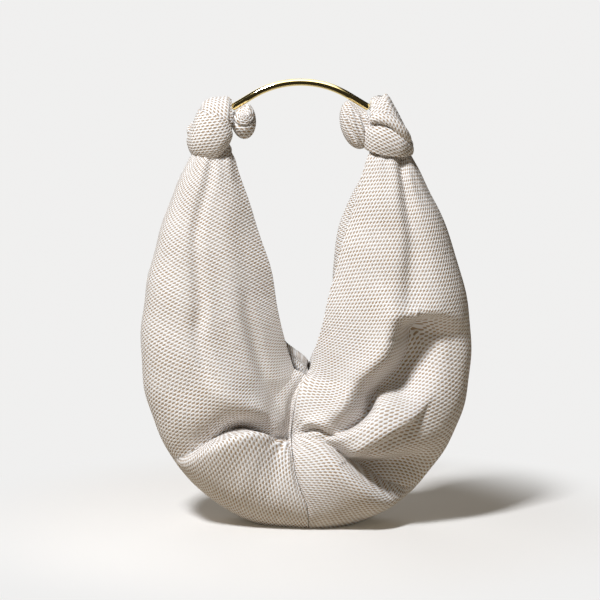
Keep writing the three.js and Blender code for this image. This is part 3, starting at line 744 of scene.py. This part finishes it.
def woven_material(name, light, dark, warp, weft, levels, depth, dash):
    material, tree, bsdf = new_material(name, light)
    uv = shader_node(tree, "ShaderNodeUVMap", {}, "UV", uv_map="cloth")
    warp_wave = math_node(tree, "MULTIPLY", wave(tree, uv, warp), 1 - dash)
    weft_wave = math_node(tree, "MULTIPLY", wave(tree, uv, weft), 1 + dash)
    total = math_node(tree, "ADD", warp_wave, weft_wave)
    dots = ramp_node(tree, total, *levels)
    patches = noise_node(tree, uv, PATCH_SCALE, 3.0)
    yarn = noise_node(tree, uv, YARN_SCALE, 2.0)
    amount = math_node(tree, "MULTIPLY", dots, ramp_node(tree, patches, *PATCH_RAMP))
    shade = mix_color(tree, ramp_node(tree, yarn, *YARN_RAMP), light, dark)
    tree.links.new(mix_color(tree, amount, shade, dark), bsdf.inputs["Base Color"])
    height = math_node(tree, "MULTIPLY", math_node(tree, "SUBTRACT", yarn, total), CLOTH_RELIEF)
    tree.links.new(bump_node(tree, height, CLOTH_BUMP, depth), bsdf.inputs["Normal"])
    for socket, value in CLOTH_SURFACE.items():
        bsdf.inputs[socket].default_value = value
    return material


def metal_material(name, color, roughness):
    material, tree, bsdf = new_material(name, color)
    bsdf.inputs["Metallic"].default_value = 1.0
    place = shader_node(tree, "ShaderNodeTexCoord", {}, "Object")
    scuffs = noise_node(tree, place, SCUFF_SCALE, 4.0)
    ends = [roughness * share for share in SCUFF_SHARES]
    tree.links.new(ramp_node(tree, scuffs, *SCUFF_RANGE, *ends), bsdf.inputs["Roughness"])
    waves = noise_node(tree, place, WAVE_SCALE, 1.0)
    tree.links.new(bump_node(tree, waves, METAL_BUMP, METAL_RELIEF), bsdf.inputs["Normal"])
    return material


woven = woven_material("woven_cloth", **WOVEN)
lining_cloth = woven_material("lining_cloth", **LINING)
brass = metal_material("polished_brass", BRASS, BRASS_ROUGHNESS)
snap_metal = metal_material("snap_metal", SNAP_METAL, SNAP_ROUGHNESS)

# Shell halves, and pieces behind them: ranges of s and t, depths of their faces, rows and columns
SHELL_TOP = 1.03
SHELL_SPLIT = 0.6
FACING_FRONT = ((0, 0.93), (-0.985, -0.8), (2.3, 3.3), (90, 16))
FACING_BACK = ((0, 0.93), (0.8, 0.985), (2.3, 3.3), (90, 16))
LINING_HALF = ((0, 0.86), (-0.79, 0.79), (2.3, 3.3), (90, 70))
SLIP_POCKET = ((0.07, 0.357), (0.4, 0.7), (3.6, 4.4), (30, 24))


def hem_roll(s, t):
    """How much thicker the back mouth edge is at its middle, where its hem is rolled."""
    thick = HEM_ROLL * smoothstep(*HEM_IN, t) - HEM_SLOPE * smoothstep(*HEM_TOP, t)
    return thick * smoothstep(*HEM_OUT, s)


def shell_piece(side, node):
    low = np.linspace(0, SHELL_SPLIT, LOW_ROWS)
    high = np.linspace(SHELL_SPLIT, SHELL_TOP, ARM_ROWS)
    front = np.linspace(-1, 0, FRONT_COLS)
    back = np.linspace(0, 1, BACK_COLS)
    t, s = np.meshgrid(np.concatenate([front, back[1:]]), np.concatenate([low, high[1:]]))
    outer, normal = draped(side, s, t)
    outer[0, :, 0] += side * SEAM_GAP / 2
    inner = outer - normal * WALL
    inner[..., 1] -= hem_roll(s, t)
    inner = above(inner, INNER_CLEARANCE)
    uv = weave_map(side, s, t, outer)
    sheet = thick_sheet(outer, inner, uv, SHELL_RIM, smoothstep(*HEM_OUT, s[:, 0]))
    take_place(add_mesh(f"{node}_cloth", *sheet, woven), "bag", node)


def patch_piece(node, side, size, material):
    s_range, t_range, depths, counts = size
    t, s = np.meshgrid(np.linspace(*t_range, counts[1]), np.linspace(*s_range, counts[0]))
    base, normal = draped(side, s, t, True)
    base[..., 1] -= hem_roll(s, t)
    layers = [above(base - normal * depth, depth) for depth in depths]
    u = length_along(base, 1).mean(0)
    v = length_along(base, 0).mean(1)
    sheet = thick_sheet(*layers, np.stack(np.meshgrid(u, v), -1))
    take_place(add_mesh(f"{node}_cloth", *sheet, material), "bag", node)


for side, word in ((-1, "left"), (1, "right")):
    shell_piece(side, f"shell_{word}")
    patch_piece(f"facing_front_{word}", side, FACING_FRONT, woven)
    patch_piece(f"facing_back_{word}", side, FACING_BACK, woven)
    patch_piece(f"lining_{word}", side, LINING_HALF, lining_cloth)
patch_piece("slip_pocket", 1, SLIP_POCKET, lining_cloth)

# Cloth wound round an eye: shares of its lengths along the axis, and of its radius there by side
WRAP_OUT_SHARES = (1, 0.93, 0.8, 0.6, 0.35, 0)
WRAP_IN_SHARES = (0.55, 1)
WRAP_SWELL = {-1: (0.5, 0.68, 0.82, 0.92, 0.985, 1, 0.95, 0.84),
              1: (0.72, 0.87, 0.95, 0.99, 1, 0.98, 0.91, 0.76)}
WRAP_WOBBLE = 0.012

# Room that the knots leave: round the wound cloth, and for the tube as it swings, in degrees
WRAP_MARGIN = 0.6
WRAP_CLEARANCE = 0.5
SWEEP_LOW = 2.5
SWEEP_SLOPE = 0.6
SWEEP_EDGE = (76, 66)

# Forms of a knot's parts
BAND_TAPER = 0.92
BAND_SQUARENESS = (0.85, 0.9)
LOBE_POLE = 0.001
FOLD_THIN = 0.35
FOLD_EDGE = (0.0, 0.2)
ROLL_HEIGHT = 0.55
ROLL_CREASE = 1.6
ROLL_CREASE_WIDTH = 1.1
ROLL_FRONT = (0.1, -0.25)
ROLL_END = (0.5, -1.0)
ROLL_STRETCH = (0.6, 1.4)
ROLL_RIM_WEAVE = 0.4


def wrap_profile(along, side):
    """Radius of the cloth wound round an eye, along the handle's axis from the eye's plane."""
    places = [-share * WRAP_OUTWARD[side] for share in WRAP_OUT_SHARES]
    places += [share * WRAP_INWARD for share in WRAP_IN_SHARES]
    return WRAP_RADIUS * np.interp(along, places, WRAP_SWELL[side])


def clear_of_handle(points, side):
    """Points moved out of the room of the eye's cloth and of the tube as it swings."""
    eye = NECK_SHIFT + side * EYE_HALF_SPAN
    along = side * (eye - points[..., 0])
    radius = np.hypot(points[..., 1], points[..., 2] - AXIS_Z)
    turn = np.arctan2(points[..., 1], points[..., 2] - AXIS_Z)
    wound = (along > -WRAP_OUTWARD[side] - WRAP_MARGIN) & (along < WRAP_INWARD + WRAP_MARGIN)
    room = wrap_profile(along, side) + WRAP_CLEARANCE
    moved = np.where(wound & (radius < room), room, radius)
    low = SWEEP_LOW + SWEEP_SLOPE * np.clip(along, 0, None)
    swept = smoothstep(*SWEEP_EDGE, np.degrees(np.abs(turn))) * (along >= WRAP_INWARD + WRAP_MARGIN)
    moved = np.where(moved > low, moved + swept * (low - moved), moved)
    return np.stack([points[..., 0], moved * np.sin(turn), AXIS_Z + moved * np.cos(turn)], -1)


def turned(u, v, angle):
    cosine = math.cos(angle)
    sine = math.sin(angle)
    return np.stack([u * cosine - v * sine, u * sine + v * cosine], -1)


def band(side, hub, rows, angle):
    """Puffy strand of folded cloth: rows of X, Y, Z from the hub, half width and half thickness."""
    path = smooth_path(rows, BAND_STEPS)
    middle = path[:, :3]
    run = unit(np.gradient(middle, axis=0))
    out = unit(middle - (middle * run).sum(1, keepdims=True) * run)
    wide = np.cross(run, out)
    end = np.sqrt(1 - BAND_TAPER * np.abs(np.linspace(-1, 1, BAND_STEPS)) ** 6)
    turn = np.linspace(-math.pi / 2, 1.5 * math.pi, BAND_SIDES, endpoint=False)
    across, upward = (np.sign(form) * np.abs(form) ** power
                      for form, power in zip((np.cos(turn), np.sin(turn)), BAND_SQUARENESS))
    half_width = (path[:, 3] * end)[:, None] * across
    half_thick = (path[:, 4] * end)[:, None] * upward
    ring = middle[:, None] + wide[:, None] * half_width[..., None] + out[:, None] * half_thick[..., None]
    ring = clear_of_handle(ring + hub, side)
    front = BAND_SIDES // 2
    u = length_along(ring, 0)[:, front:front + 1]
    v = length_along(ring, 1)
    v = v - v[:, front:front + 1]
    flat = turned(np.broadcast_to(u, v.shape), v, angle)
    return ring.reshape(-1, 3), closed_rows(ring), flat.reshape(-1, 2)


def lobe(side, hub, offset, radii, tilt, angle, creases=()):
    """Rounded end of cloth, leaning by tilt towards +X, with creases: place round it, depth, width."""
    rows = np.linspace(LOBE_POLE, math.pi - LOBE_POLE, LOBE_ROWS)
    sides = np.linspace(math.pi / 2, 2.5 * math.pi, LOBE_SIDES, endpoint=False)
    around, down = np.meshgrid(sides, rows)
    ball = np.stack([np.sin(down) * np.cos(around), np.sin(down) * np.sin(around), np.cos(down)], -1)
    radius = np.ones(around.shape)
    for place, depth, width in creases:
        away = np.angle(np.exp(1j * (around - place)))
        radius -= depth * np.exp(-(away / width) ** 2) * np.sin(down)
    x = radius * ball[..., 0] * radii[0]
    y = radius * ball[..., 1] * radii[1]
    z = ball[..., 2] * radii[2]
    lean = turned(x, z, -tilt)
    points = np.stack([lean[..., 0], y, lean[..., 1]], -1) + offset + hub
    points = clear_of_handle(points, side)
    from_front = np.arccos(np.clip(-ball[..., 1], -1, 1))
    reach = from_front / np.maximum(np.sin(from_front), 1e-3)
    flat = turned(reach * ball[..., 0] * radii[0], reach * ball[..., 2] * radii[2], angle)
    return points.reshape(-1, 3), closed_rows(points), flat.reshape(-1, 2)


def folded(side, hub, rows, wall, angle):
    """Front fold of a knot: a puffed sheet through rows of points, measured from the hub."""
    rows = np.array(rows, float)
    down = np.stack([smooth_path(rows[:, k], FOLD_ROWS) for k in range(rows.shape[1])], 1)
    grid = np.stack([smooth_path(row, FOLD_COLS) for row in down], 0)
    normal = unit(np.cross(np.gradient(grid, axis=0), np.gradient(grid, axis=1)))
    normal *= np.sign((normal * grid).sum())
    share = np.linspace(0, 1, FOLD_ROWS)[:, None]
    edge = smoothstep(*FOLD_EDGE, np.minimum(share, share[::-1]))
    thick = wall * (FOLD_THIN + (1 - FOLD_THIN) * edge)
    outer = clear_of_handle(grid + hub, side)
    inner = clear_of_handle(grid - normal * thick[..., None] + hub, side)
    u = length_along(outer, 1)
    v = length_along(outer, 0)
    row = FOLD_ROWS // 2
    column = FOLD_COLS // 2
    flat = turned(u - u[:, column:column + 1], v - v[row:row + 1], angle)
    return thick_sheet(*(np.swapaxes(layer, 0, 1) for layer in (outer, inner, flat)))


def rosette(side, hub, offset, radii, tilt, centre, pitch, reach):
    """Rolled end of cloth: a rounded end with fine turns about a centre on its front."""
    points, faces, _ = lobe(side, hub, offset, radii, tilt, 0)
    local = points - hub - offset
    normal = unit(local / np.asarray(radii) ** 2)
    x = local[:, 0] - centre[0]
    z = local[:, 2] - centre[1]
    around = np.arctan2(z, x)
    away = np.hypot(x, z) + pitch * around / (2 * math.pi)
    turns = ROLL_HEIGHT * np.cos(2 * math.pi * away / pitch) * smoothstep(*ROLL_END, away - reach)
    crease = -ROLL_CREASE * np.exp(-((away - reach) / ROLL_CREASE_WIDTH) ** 2)
    height = (turns + crease) * smoothstep(*ROLL_FRONT, normal[:, 1])
    points = clear_of_handle(points + normal * height[:, None], side)
    rolled = np.stack([around * ROLL_STRETCH[0] * reach, away * ROLL_STRETCH[1]], -1)
    flat = np.where((away < reach)[:, None], rolled, turned(x, z, ROLL_RIM_WEAVE))
    return points, faces, flat


def wound_cloth(side, angle):
    """Cloth wound round an eye: a barrel on the handle's axis."""
    along = np.linspace(-WRAP_OUTWARD[side], WRAP_INWARD, WRAP_ROWS)[:, None]
    theta = np.linspace(math.pi, 3 * math.pi, WRAP_SIDES, endpoint=False)
    radius = wrap_profile(along, side) * (1 + WRAP_WOBBLE * np.sin(2 * theta + along / 4))
    x = np.broadcast_to(NECK_SHIFT + side * (EYE_HALF_SPAN - along), radius.shape)
    points = np.stack([x, radius * np.sin(theta), AXIS_Z + radius * np.cos(theta)], -1)
    flat = turned(x, np.broadcast_to((theta - 2 * math.pi) * WRAP_RADIUS, radius.shape), angle)
    return points.reshape(-1, 3), closed_rows(points), flat.reshape(-1, 2)


def knot_piece(node, body, parts):
    """One object of several closed parts, each with points, faces and cloth coordinates."""
    points, uvs, faces = [], [], []
    start = 0
    for part_points, part_faces, part_uv in parts:
        points.append(part_points)
        uvs.append(part_uv)
        faces += [[i + start for i in face] for face in part_faces]
        start += len(part_points)
    obj = add_mesh(f"{node}_cloth", np.vstack(points), faces, np.vstack(uvs), woven)
    take_place(obj, body, node)


# Left knot, from its hub: a front fold in rows from the top, a band behind it, the wad below them
LEFT_HUB = np.array([NECK_SHIFT - NECK_SPAN / 2, 0, KNOT_Z])
LEFT_FOLD = [
    [(-13.5, -4, 18), (-11.5, -17, 17.5), (-4, -23.5, 15), (6, -25, 13.3), (13, -23, 11), (18, -20, 8)],
    [(-18.5, -3, 6), (-16, -19, 5.5), (-6, -27, 4), (6, -28.5, 3.5), (14, -26, 3), (20, -20, 1.5)],
    [(-24.5, -3, -10), (-19, -19, -11), (-7, -28, -10), (6, -29, -9), (16, -26, -7.5), (21.5, -19, -5)],
    [(-23, -3, -20), (-17, -17, -22), (-6, -25, -21), (5, -26.5, -20), (13, -24, -17), (19.5, -18, -12)],
    [(-20, -2, -26), (-14, -13, -28), (-5, -19, -29.5), (3, -20, -29.5), (9, -19, -26), (16, -15, -18)],
]
LEFT_BACK_BAND = [(-18, -3, -8, 12, 5), (-16.5, 6, -9, 14, 6), (-9, 16, -9, 18, 8), (8, 17, -8, 16, 8),
                  (17, 8, -7, 12, 6)]
WAD_OFFSET = (0, 0, -22)
WAD_RADII = (20, 19, 13)
WAD_WEAVE = 0.4
knot_piece("knot_left", "bag", [
    folded(-1, LEFT_HUB, LEFT_FOLD, wall=6, angle=0.5),
    band(-1, LEFT_HUB, LEFT_BACK_BAND, angle=0.5),
    lobe(-1, LEFT_HUB, WAD_OFFSET, WAD_RADII, tilt=0, angle=WAD_WEAVE),
])
knot_piece("knot_tail_left", "bag", [
    rosette(-1, LEFT_HUB, offset=(31.5, -2, 8.5), radii=(12.5, 15, 19), tilt=-0.1, centre=(1.0, 6.0),
            pitch=2.3, reach=11.5),
])
knot_piece("handle_wrap_left", "handle", [wound_cloth(-1, angle=1.2)])

# Right knot, from its hub: a peaked top fold, a band across it, a lower fold, two bands behind
RIGHT_HUB = np.array([NECK_SHIFT + NECK_SPAN / 2, 0, KNOT_Z])
RIGHT_TOP_FOLD = [
    [(-19, -9, 22), (-12, -8, 28), (-3, -6, 34), (5, -6, 22), (13, -6, 7), (21.5, -5, -10)],
    [(-19.5, -17, 19), (-12, -18, 23.5), (-3, -17, 27), (5, -18, 17), (12.5, -17, 4), (20.5, -14, -11)],
    [(-20, -21, 14), (-12, -22.5, 16.5), (-2, -23, 15), (7, -22, 8), (14, -20, -1), (20.5, -16, -12)],
]
RIGHT_CROSS_BAND = [(-20.5, -20, 8.5, 4, 4), (-11, -25, 11, 5.4, 4.6), (1, -26.5, 7.5, 5.6, 4.8),
                    (11, -24.5, -1, 5.2, 4.6), (20, -17, -12, 4, 4)]
RIGHT_LOWER_FOLD = [
    [(-25, -8, 0), (-18, -20, 3.5), (-9, -26, 4), (3, -28, -1.5), (14, -25, -9), (22.5, -14, -15)],
    [(-26, -8, -7), (-19, -21.5, -5), (-9, -28.5, -5), (3, -30, -9), (14, -27, -14), (23.5, -15, -18.5)],
    [(-26, -7, -14), (-19, -20, -14.5), (-9, -27, -16), (3, -29, -18), (14, -26, -20.5),
     (23.5, -14, -22.5)],
    [(-25, -6, -19.5), (-19, -17, -22), (-9, -23, -24.5), (3, -25, -26), (14, -23, -26.5),
     (22.5, -12, -25.5)],
]
RIGHT_BACK_BAND = [(16, -5, -19, 6, 5), (17, 5, -18, 8, 6), (13, 14, -17, 10, 8), (0, 18, -14, 12, 8),
                   (-15, 13, -11, 11, 7), (-22, 0, -9, 9, 5)]
RIGHT_RISING_BAND = [(14, -2, -10, 7, 5), (8, 13, -2, 9, 6), (-2, 18, 12, 9, 6), (-6, 9, 24, 7, 5),
                     (-6, -2, 26, 6, 4)]
RIGHT_TAIL_CREASES = [(4.25, 0.3, 0.12), (4.85, 0.2, 0.1), (5.35, 0.24, 0.14)]
knot_piece("knot_right", "bag", [
    folded(1, RIGHT_HUB, RIGHT_TOP_FOLD, wall=5, angle=0.75),
    band(1, RIGHT_HUB, RIGHT_CROSS_BAND, angle=0.9),
    folded(1, RIGHT_HUB, RIGHT_LOWER_FOLD, wall=6, angle=0.1),
    band(1, RIGHT_HUB, RIGHT_BACK_BAND, angle=0.1),
    band(1, RIGHT_HUB, RIGHT_RISING_BAND, angle=1.0),
    lobe(1, RIGHT_HUB, offset=(3, 0, -5), radii=(12, 16, 20), tilt=0, angle=WAD_WEAVE),
    lobe(1, RIGHT_HUB, WAD_OFFSET, WAD_RADII, tilt=0, angle=WAD_WEAVE),
])
knot_piece("knot_tail_right", "bag", [
    lobe(1, RIGHT_HUB, offset=(-33.5, 0, 4), radii=(15, 16, 25), tilt=-0.27, angle=0.9,
         creases=RIGHT_TAIL_CREASES),
])
knot_piece("handle_wrap_right", "handle", [wound_cloth(1, angle=0.8)])


# Handle
def tube_piece():
    """Polished tube: straight ends, an arched middle, bevelled rims and an open bore."""
    cosine = math.cos(ARCH_HALF_ANGLE)
    sine = math.sin(ARCH_HALF_ANGLE)
    straight = (EYE_HALF_SPAN - SHANK_REACH * cosine - ARCH_RADIUS * sine) / cosine
    end_z = AXIS_Z + EYE_RADIUS + SHANK_REACH * sine
    top_z = end_z + straight * sine + ARCH_RADIUS * (1 - cosine)
    arc = ARCH_RADIUS * ARCH_HALF_ANGLE
    run = np.linspace(-arc - straight, arc + straight, TUBE_STEPS)
    turn = np.clip(run, -arc, arc) / ARCH_RADIUS
    past = np.clip(np.abs(run) - arc, 0, None)
    x = NECK_SHIFT + ARCH_RADIUS * np.sin(turn) + np.sign(run) * past * cosine
    z = top_z - ARCH_RADIUS * (1 - np.cos(turn)) - past * sine
    middle = np.stack([x, 0 * x, z], -1)
    lead = unit(np.gradient(middle, axis=0))
    deep = np.array([0, 1.0, 0])
    up = np.cross(lead, deep)
    theta = np.linspace(0, 2 * math.pi, TUBE_SIDES, endpoint=False)[:, None]
    spoke = up[:, None] * np.cos(theta) + deep * np.sin(theta)

    def ring(i, radius, inset=0.0):
        return middle[i] + lead[i] * inset + spoke[i] * radius

    def rim(i, inset):
        return [ring(i, TUBE_BORE, inset), ring(i, TUBE_BORE + TUBE_BEVEL),
                ring(i, TUBE_RADIUS - TUBE_BEVEL), ring(i, TUBE_RADIUS, inset)]

    rings = rim(0, TUBE_BEVEL)
    rings += [ring(i, TUBE_RADIUS) for i in range(1, TUBE_STEPS - 1)]
    rings += rim(-1, -TUBE_BEVEL)[::-1]
    rings += [ring(i, TUBE_BORE) for i in range(TUBE_STEPS - 3, 1, -2)]
    index = np.arange(len(rings) * TUBE_SIDES).reshape(-1, TUBE_SIDES)
    faces = ring_quads(np.vstack([index, index[:1]]))
    obj = add_mesh("handle_tube_polished", np.vstack(rings), faces, None, brass)
    take_place(obj, "handle", "handle_tube")


def dress(name, material):
    """Give a solid that stays in view its material."""
    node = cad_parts[name]
    node.data.materials.clear()
    node.data.materials.append(material)


tube_piece()
for word in ("left", "right"):
    for kind in ("plug", "eye"):
        dress(f"handle_{kind}_{word}", brass)
for name in ("snap_socket", "snap_stud"):
    dress(name, snap_metal)

# Floor and backdrop, in metres: the floor fades into the backdrop round the bag
FLOOR_SIZE = 30
FLOOR = (0.47, 0.41, 0.325)
FLOOR_SEEN = (0.86, 0.86, 0.865)
FLOOR_GLOW = (0.8, 0.68, 0.5)
FLOOR_GLOW_SHARE = 0.1
FLOOR_IN_METAL = (0.8, 0.79, 0.77)
FRONT_IN_METAL = (0.03, 0.027, 0.022)
FRONT_RAMP = (-0.2, -0.06, 1.0, 0.0)
FADE = (0.2, 0.4)
BACKDROP = (0.872, 0.868, 0.862)

# World: a low warm light on the cloth. Metal shows a dark studio with a bright panel overhead.
AMBIENT = 0.062
AMBIENT_TINT = (1.0, 0.84, 0.64)
STUDIO_DARK = (0.03, 0.028, 0.024)
PANEL = (3.2, 3.2, 3.2)
PANEL_UP = (0.62, 0.74)
PANEL_ASIDE = (0.3, 0.46, 1.0, 0.0)
PANEL_BEHIND = (0.3, 0.45, 1.0, 0.0)

# Lamps by place, size in metres and power in watts, and the camera
LAMP_TARGET = (0, 0, 0.2)
LAMPS = {"key": ((-0.88, -1.38, 2.36), 0.42, 87), "fill": ((-0.3, 2.4, 1.5), 1.6, 13)}
CAMERA_TARGET = (-0.006, 0, 0.2247)
CAMERA_DISTANCE = 2.2
CAMERA_ELEVATION = math.radians(7)
CAMERA_LENS = 132
CAMERA_SENSOR = 36


def floor_material():
    """Pale floor that fades into the backdrop. The camera sees it lighter than it lights the bag."""
    material = bpy.data.materials.new("floor")
    material.use_nodes = True
    tree = material.node_tree
    tree.nodes.clear()

    def glowing(color):
        return shader_node(tree, "ShaderNodeEmission", {"Color": color})

    def matt(color):
        return shader_node(tree, "ShaderNodeBsdfDiffuse", {"Color": color})

    place = shader_node(tree, "ShaderNodeTexCoord", {}, "Object")
    front = ramp_node(tree, axis_node(tree, place, "Y"), *FRONT_RAMP)
    in_metal = mix_shader(tree, front, glowing(FLOOR_IN_METAL), glowing(FRONT_IN_METAL))
    lit = mix_shader(tree, ray_node(tree, "Is Glossy Ray"), matt(FLOOR), in_metal)
    near = mix_shader(tree, FLOOR_GLOW_SHARE, matt(FLOOR_SEEN), glowing(FLOOR_GLOW))
    length = shader_node(tree, "ShaderNodeVectorMath", {0: place}, "Value", operation="LENGTH")
    seen = mix_shader(tree, ramp_node(tree, length, *FADE), near, glowing(BACKDROP))
    surface = mix_shader(tree, ray_node(tree, "Is Camera Ray"), lit, seen)
    output = tree.nodes.new("ShaderNodeOutputMaterial")
    tree.links.new(surface, output.inputs["Surface"])
    return material


def studio_world():
    world = bpy.data.worlds.new("studio")
    bpy.context.scene.world = world
    world.use_nodes = True
    tree = world.node_tree
    background = tree.nodes["Background"]
    background.inputs["Strength"].default_value = 1.0
    rays = [ray_node(tree, kind) for kind in ("Is Camera Ray", "Is Transmission Ray")]
    seen = math_node(tree, "MAXIMUM", *rays)
    direction = shader_node(tree, "ShaderNodeTexCoord", {}, "Generated")
    x, y, z = (axis_node(tree, direction, axis) for axis in "XYZ")
    up = ramp_node(tree, z, *PANEL_UP)
    aside = ramp_node(tree, math_node(tree, "ABSOLUTE", x), *PANEL_ASIDE)
    behind = ramp_node(tree, y, *PANEL_BEHIND)
    panel = math_node(tree, "MULTIPLY", math_node(tree, "MULTIPLY", up, aside), behind)
    in_metal = mix_color(tree, panel, STUDIO_DARK, PANEL)
    ambient = tuple(AMBIENT * tint for tint in AMBIENT_TINT)
    light = mix_color(tree, ray_node(tree, "Is Glossy Ray"), ambient, in_metal)
    tree.links.new(mix_color(tree, seen, light, BACKDROP), background.inputs["Color"])


def area_light(name, place, size, power):
    lamp = bpy.data.lights.new(name, "AREA")
    lamp.energy = power
    lamp.size = size
    obj = add_object(name, lamp)
    obj.location = place
    obj.rotation_mode = "QUATERNION"
    obj.rotation_quaternion = (Vector(LAMP_TARGET) - Vector(place)).to_track_quat("-Z", "Y")


def add_camera():
    camera = bpy.data.cameras.new("camera")
    camera.lens = CAMERA_LENS
    camera.sensor_width = CAMERA_SENSOR
    obj = add_object("camera", camera)
    toward = np.array([0, -math.cos(CAMERA_ELEVATION), math.sin(CAMERA_ELEVATION)])
    obj.location = np.array(CAMERA_TARGET) + CAMERA_DISTANCE * toward
    obj.rotation_euler = (math.pi / 2 - CAMERA_ELEVATION, 0, 0)
    bpy.context.scene.camera = obj


bpy.ops.mesh.primitive_plane_add(size=FLOOR_SIZE, location=(0, 0, 0))
floor = bpy.context.object
floor.name = "floor"
floor.data.materials.append(floor_material())
studio_world()
for name, values in LAMPS.items():
    area_light(name, *values)
add_camera()
bpy.context.scene.view_settings.view_transform = "Standard"
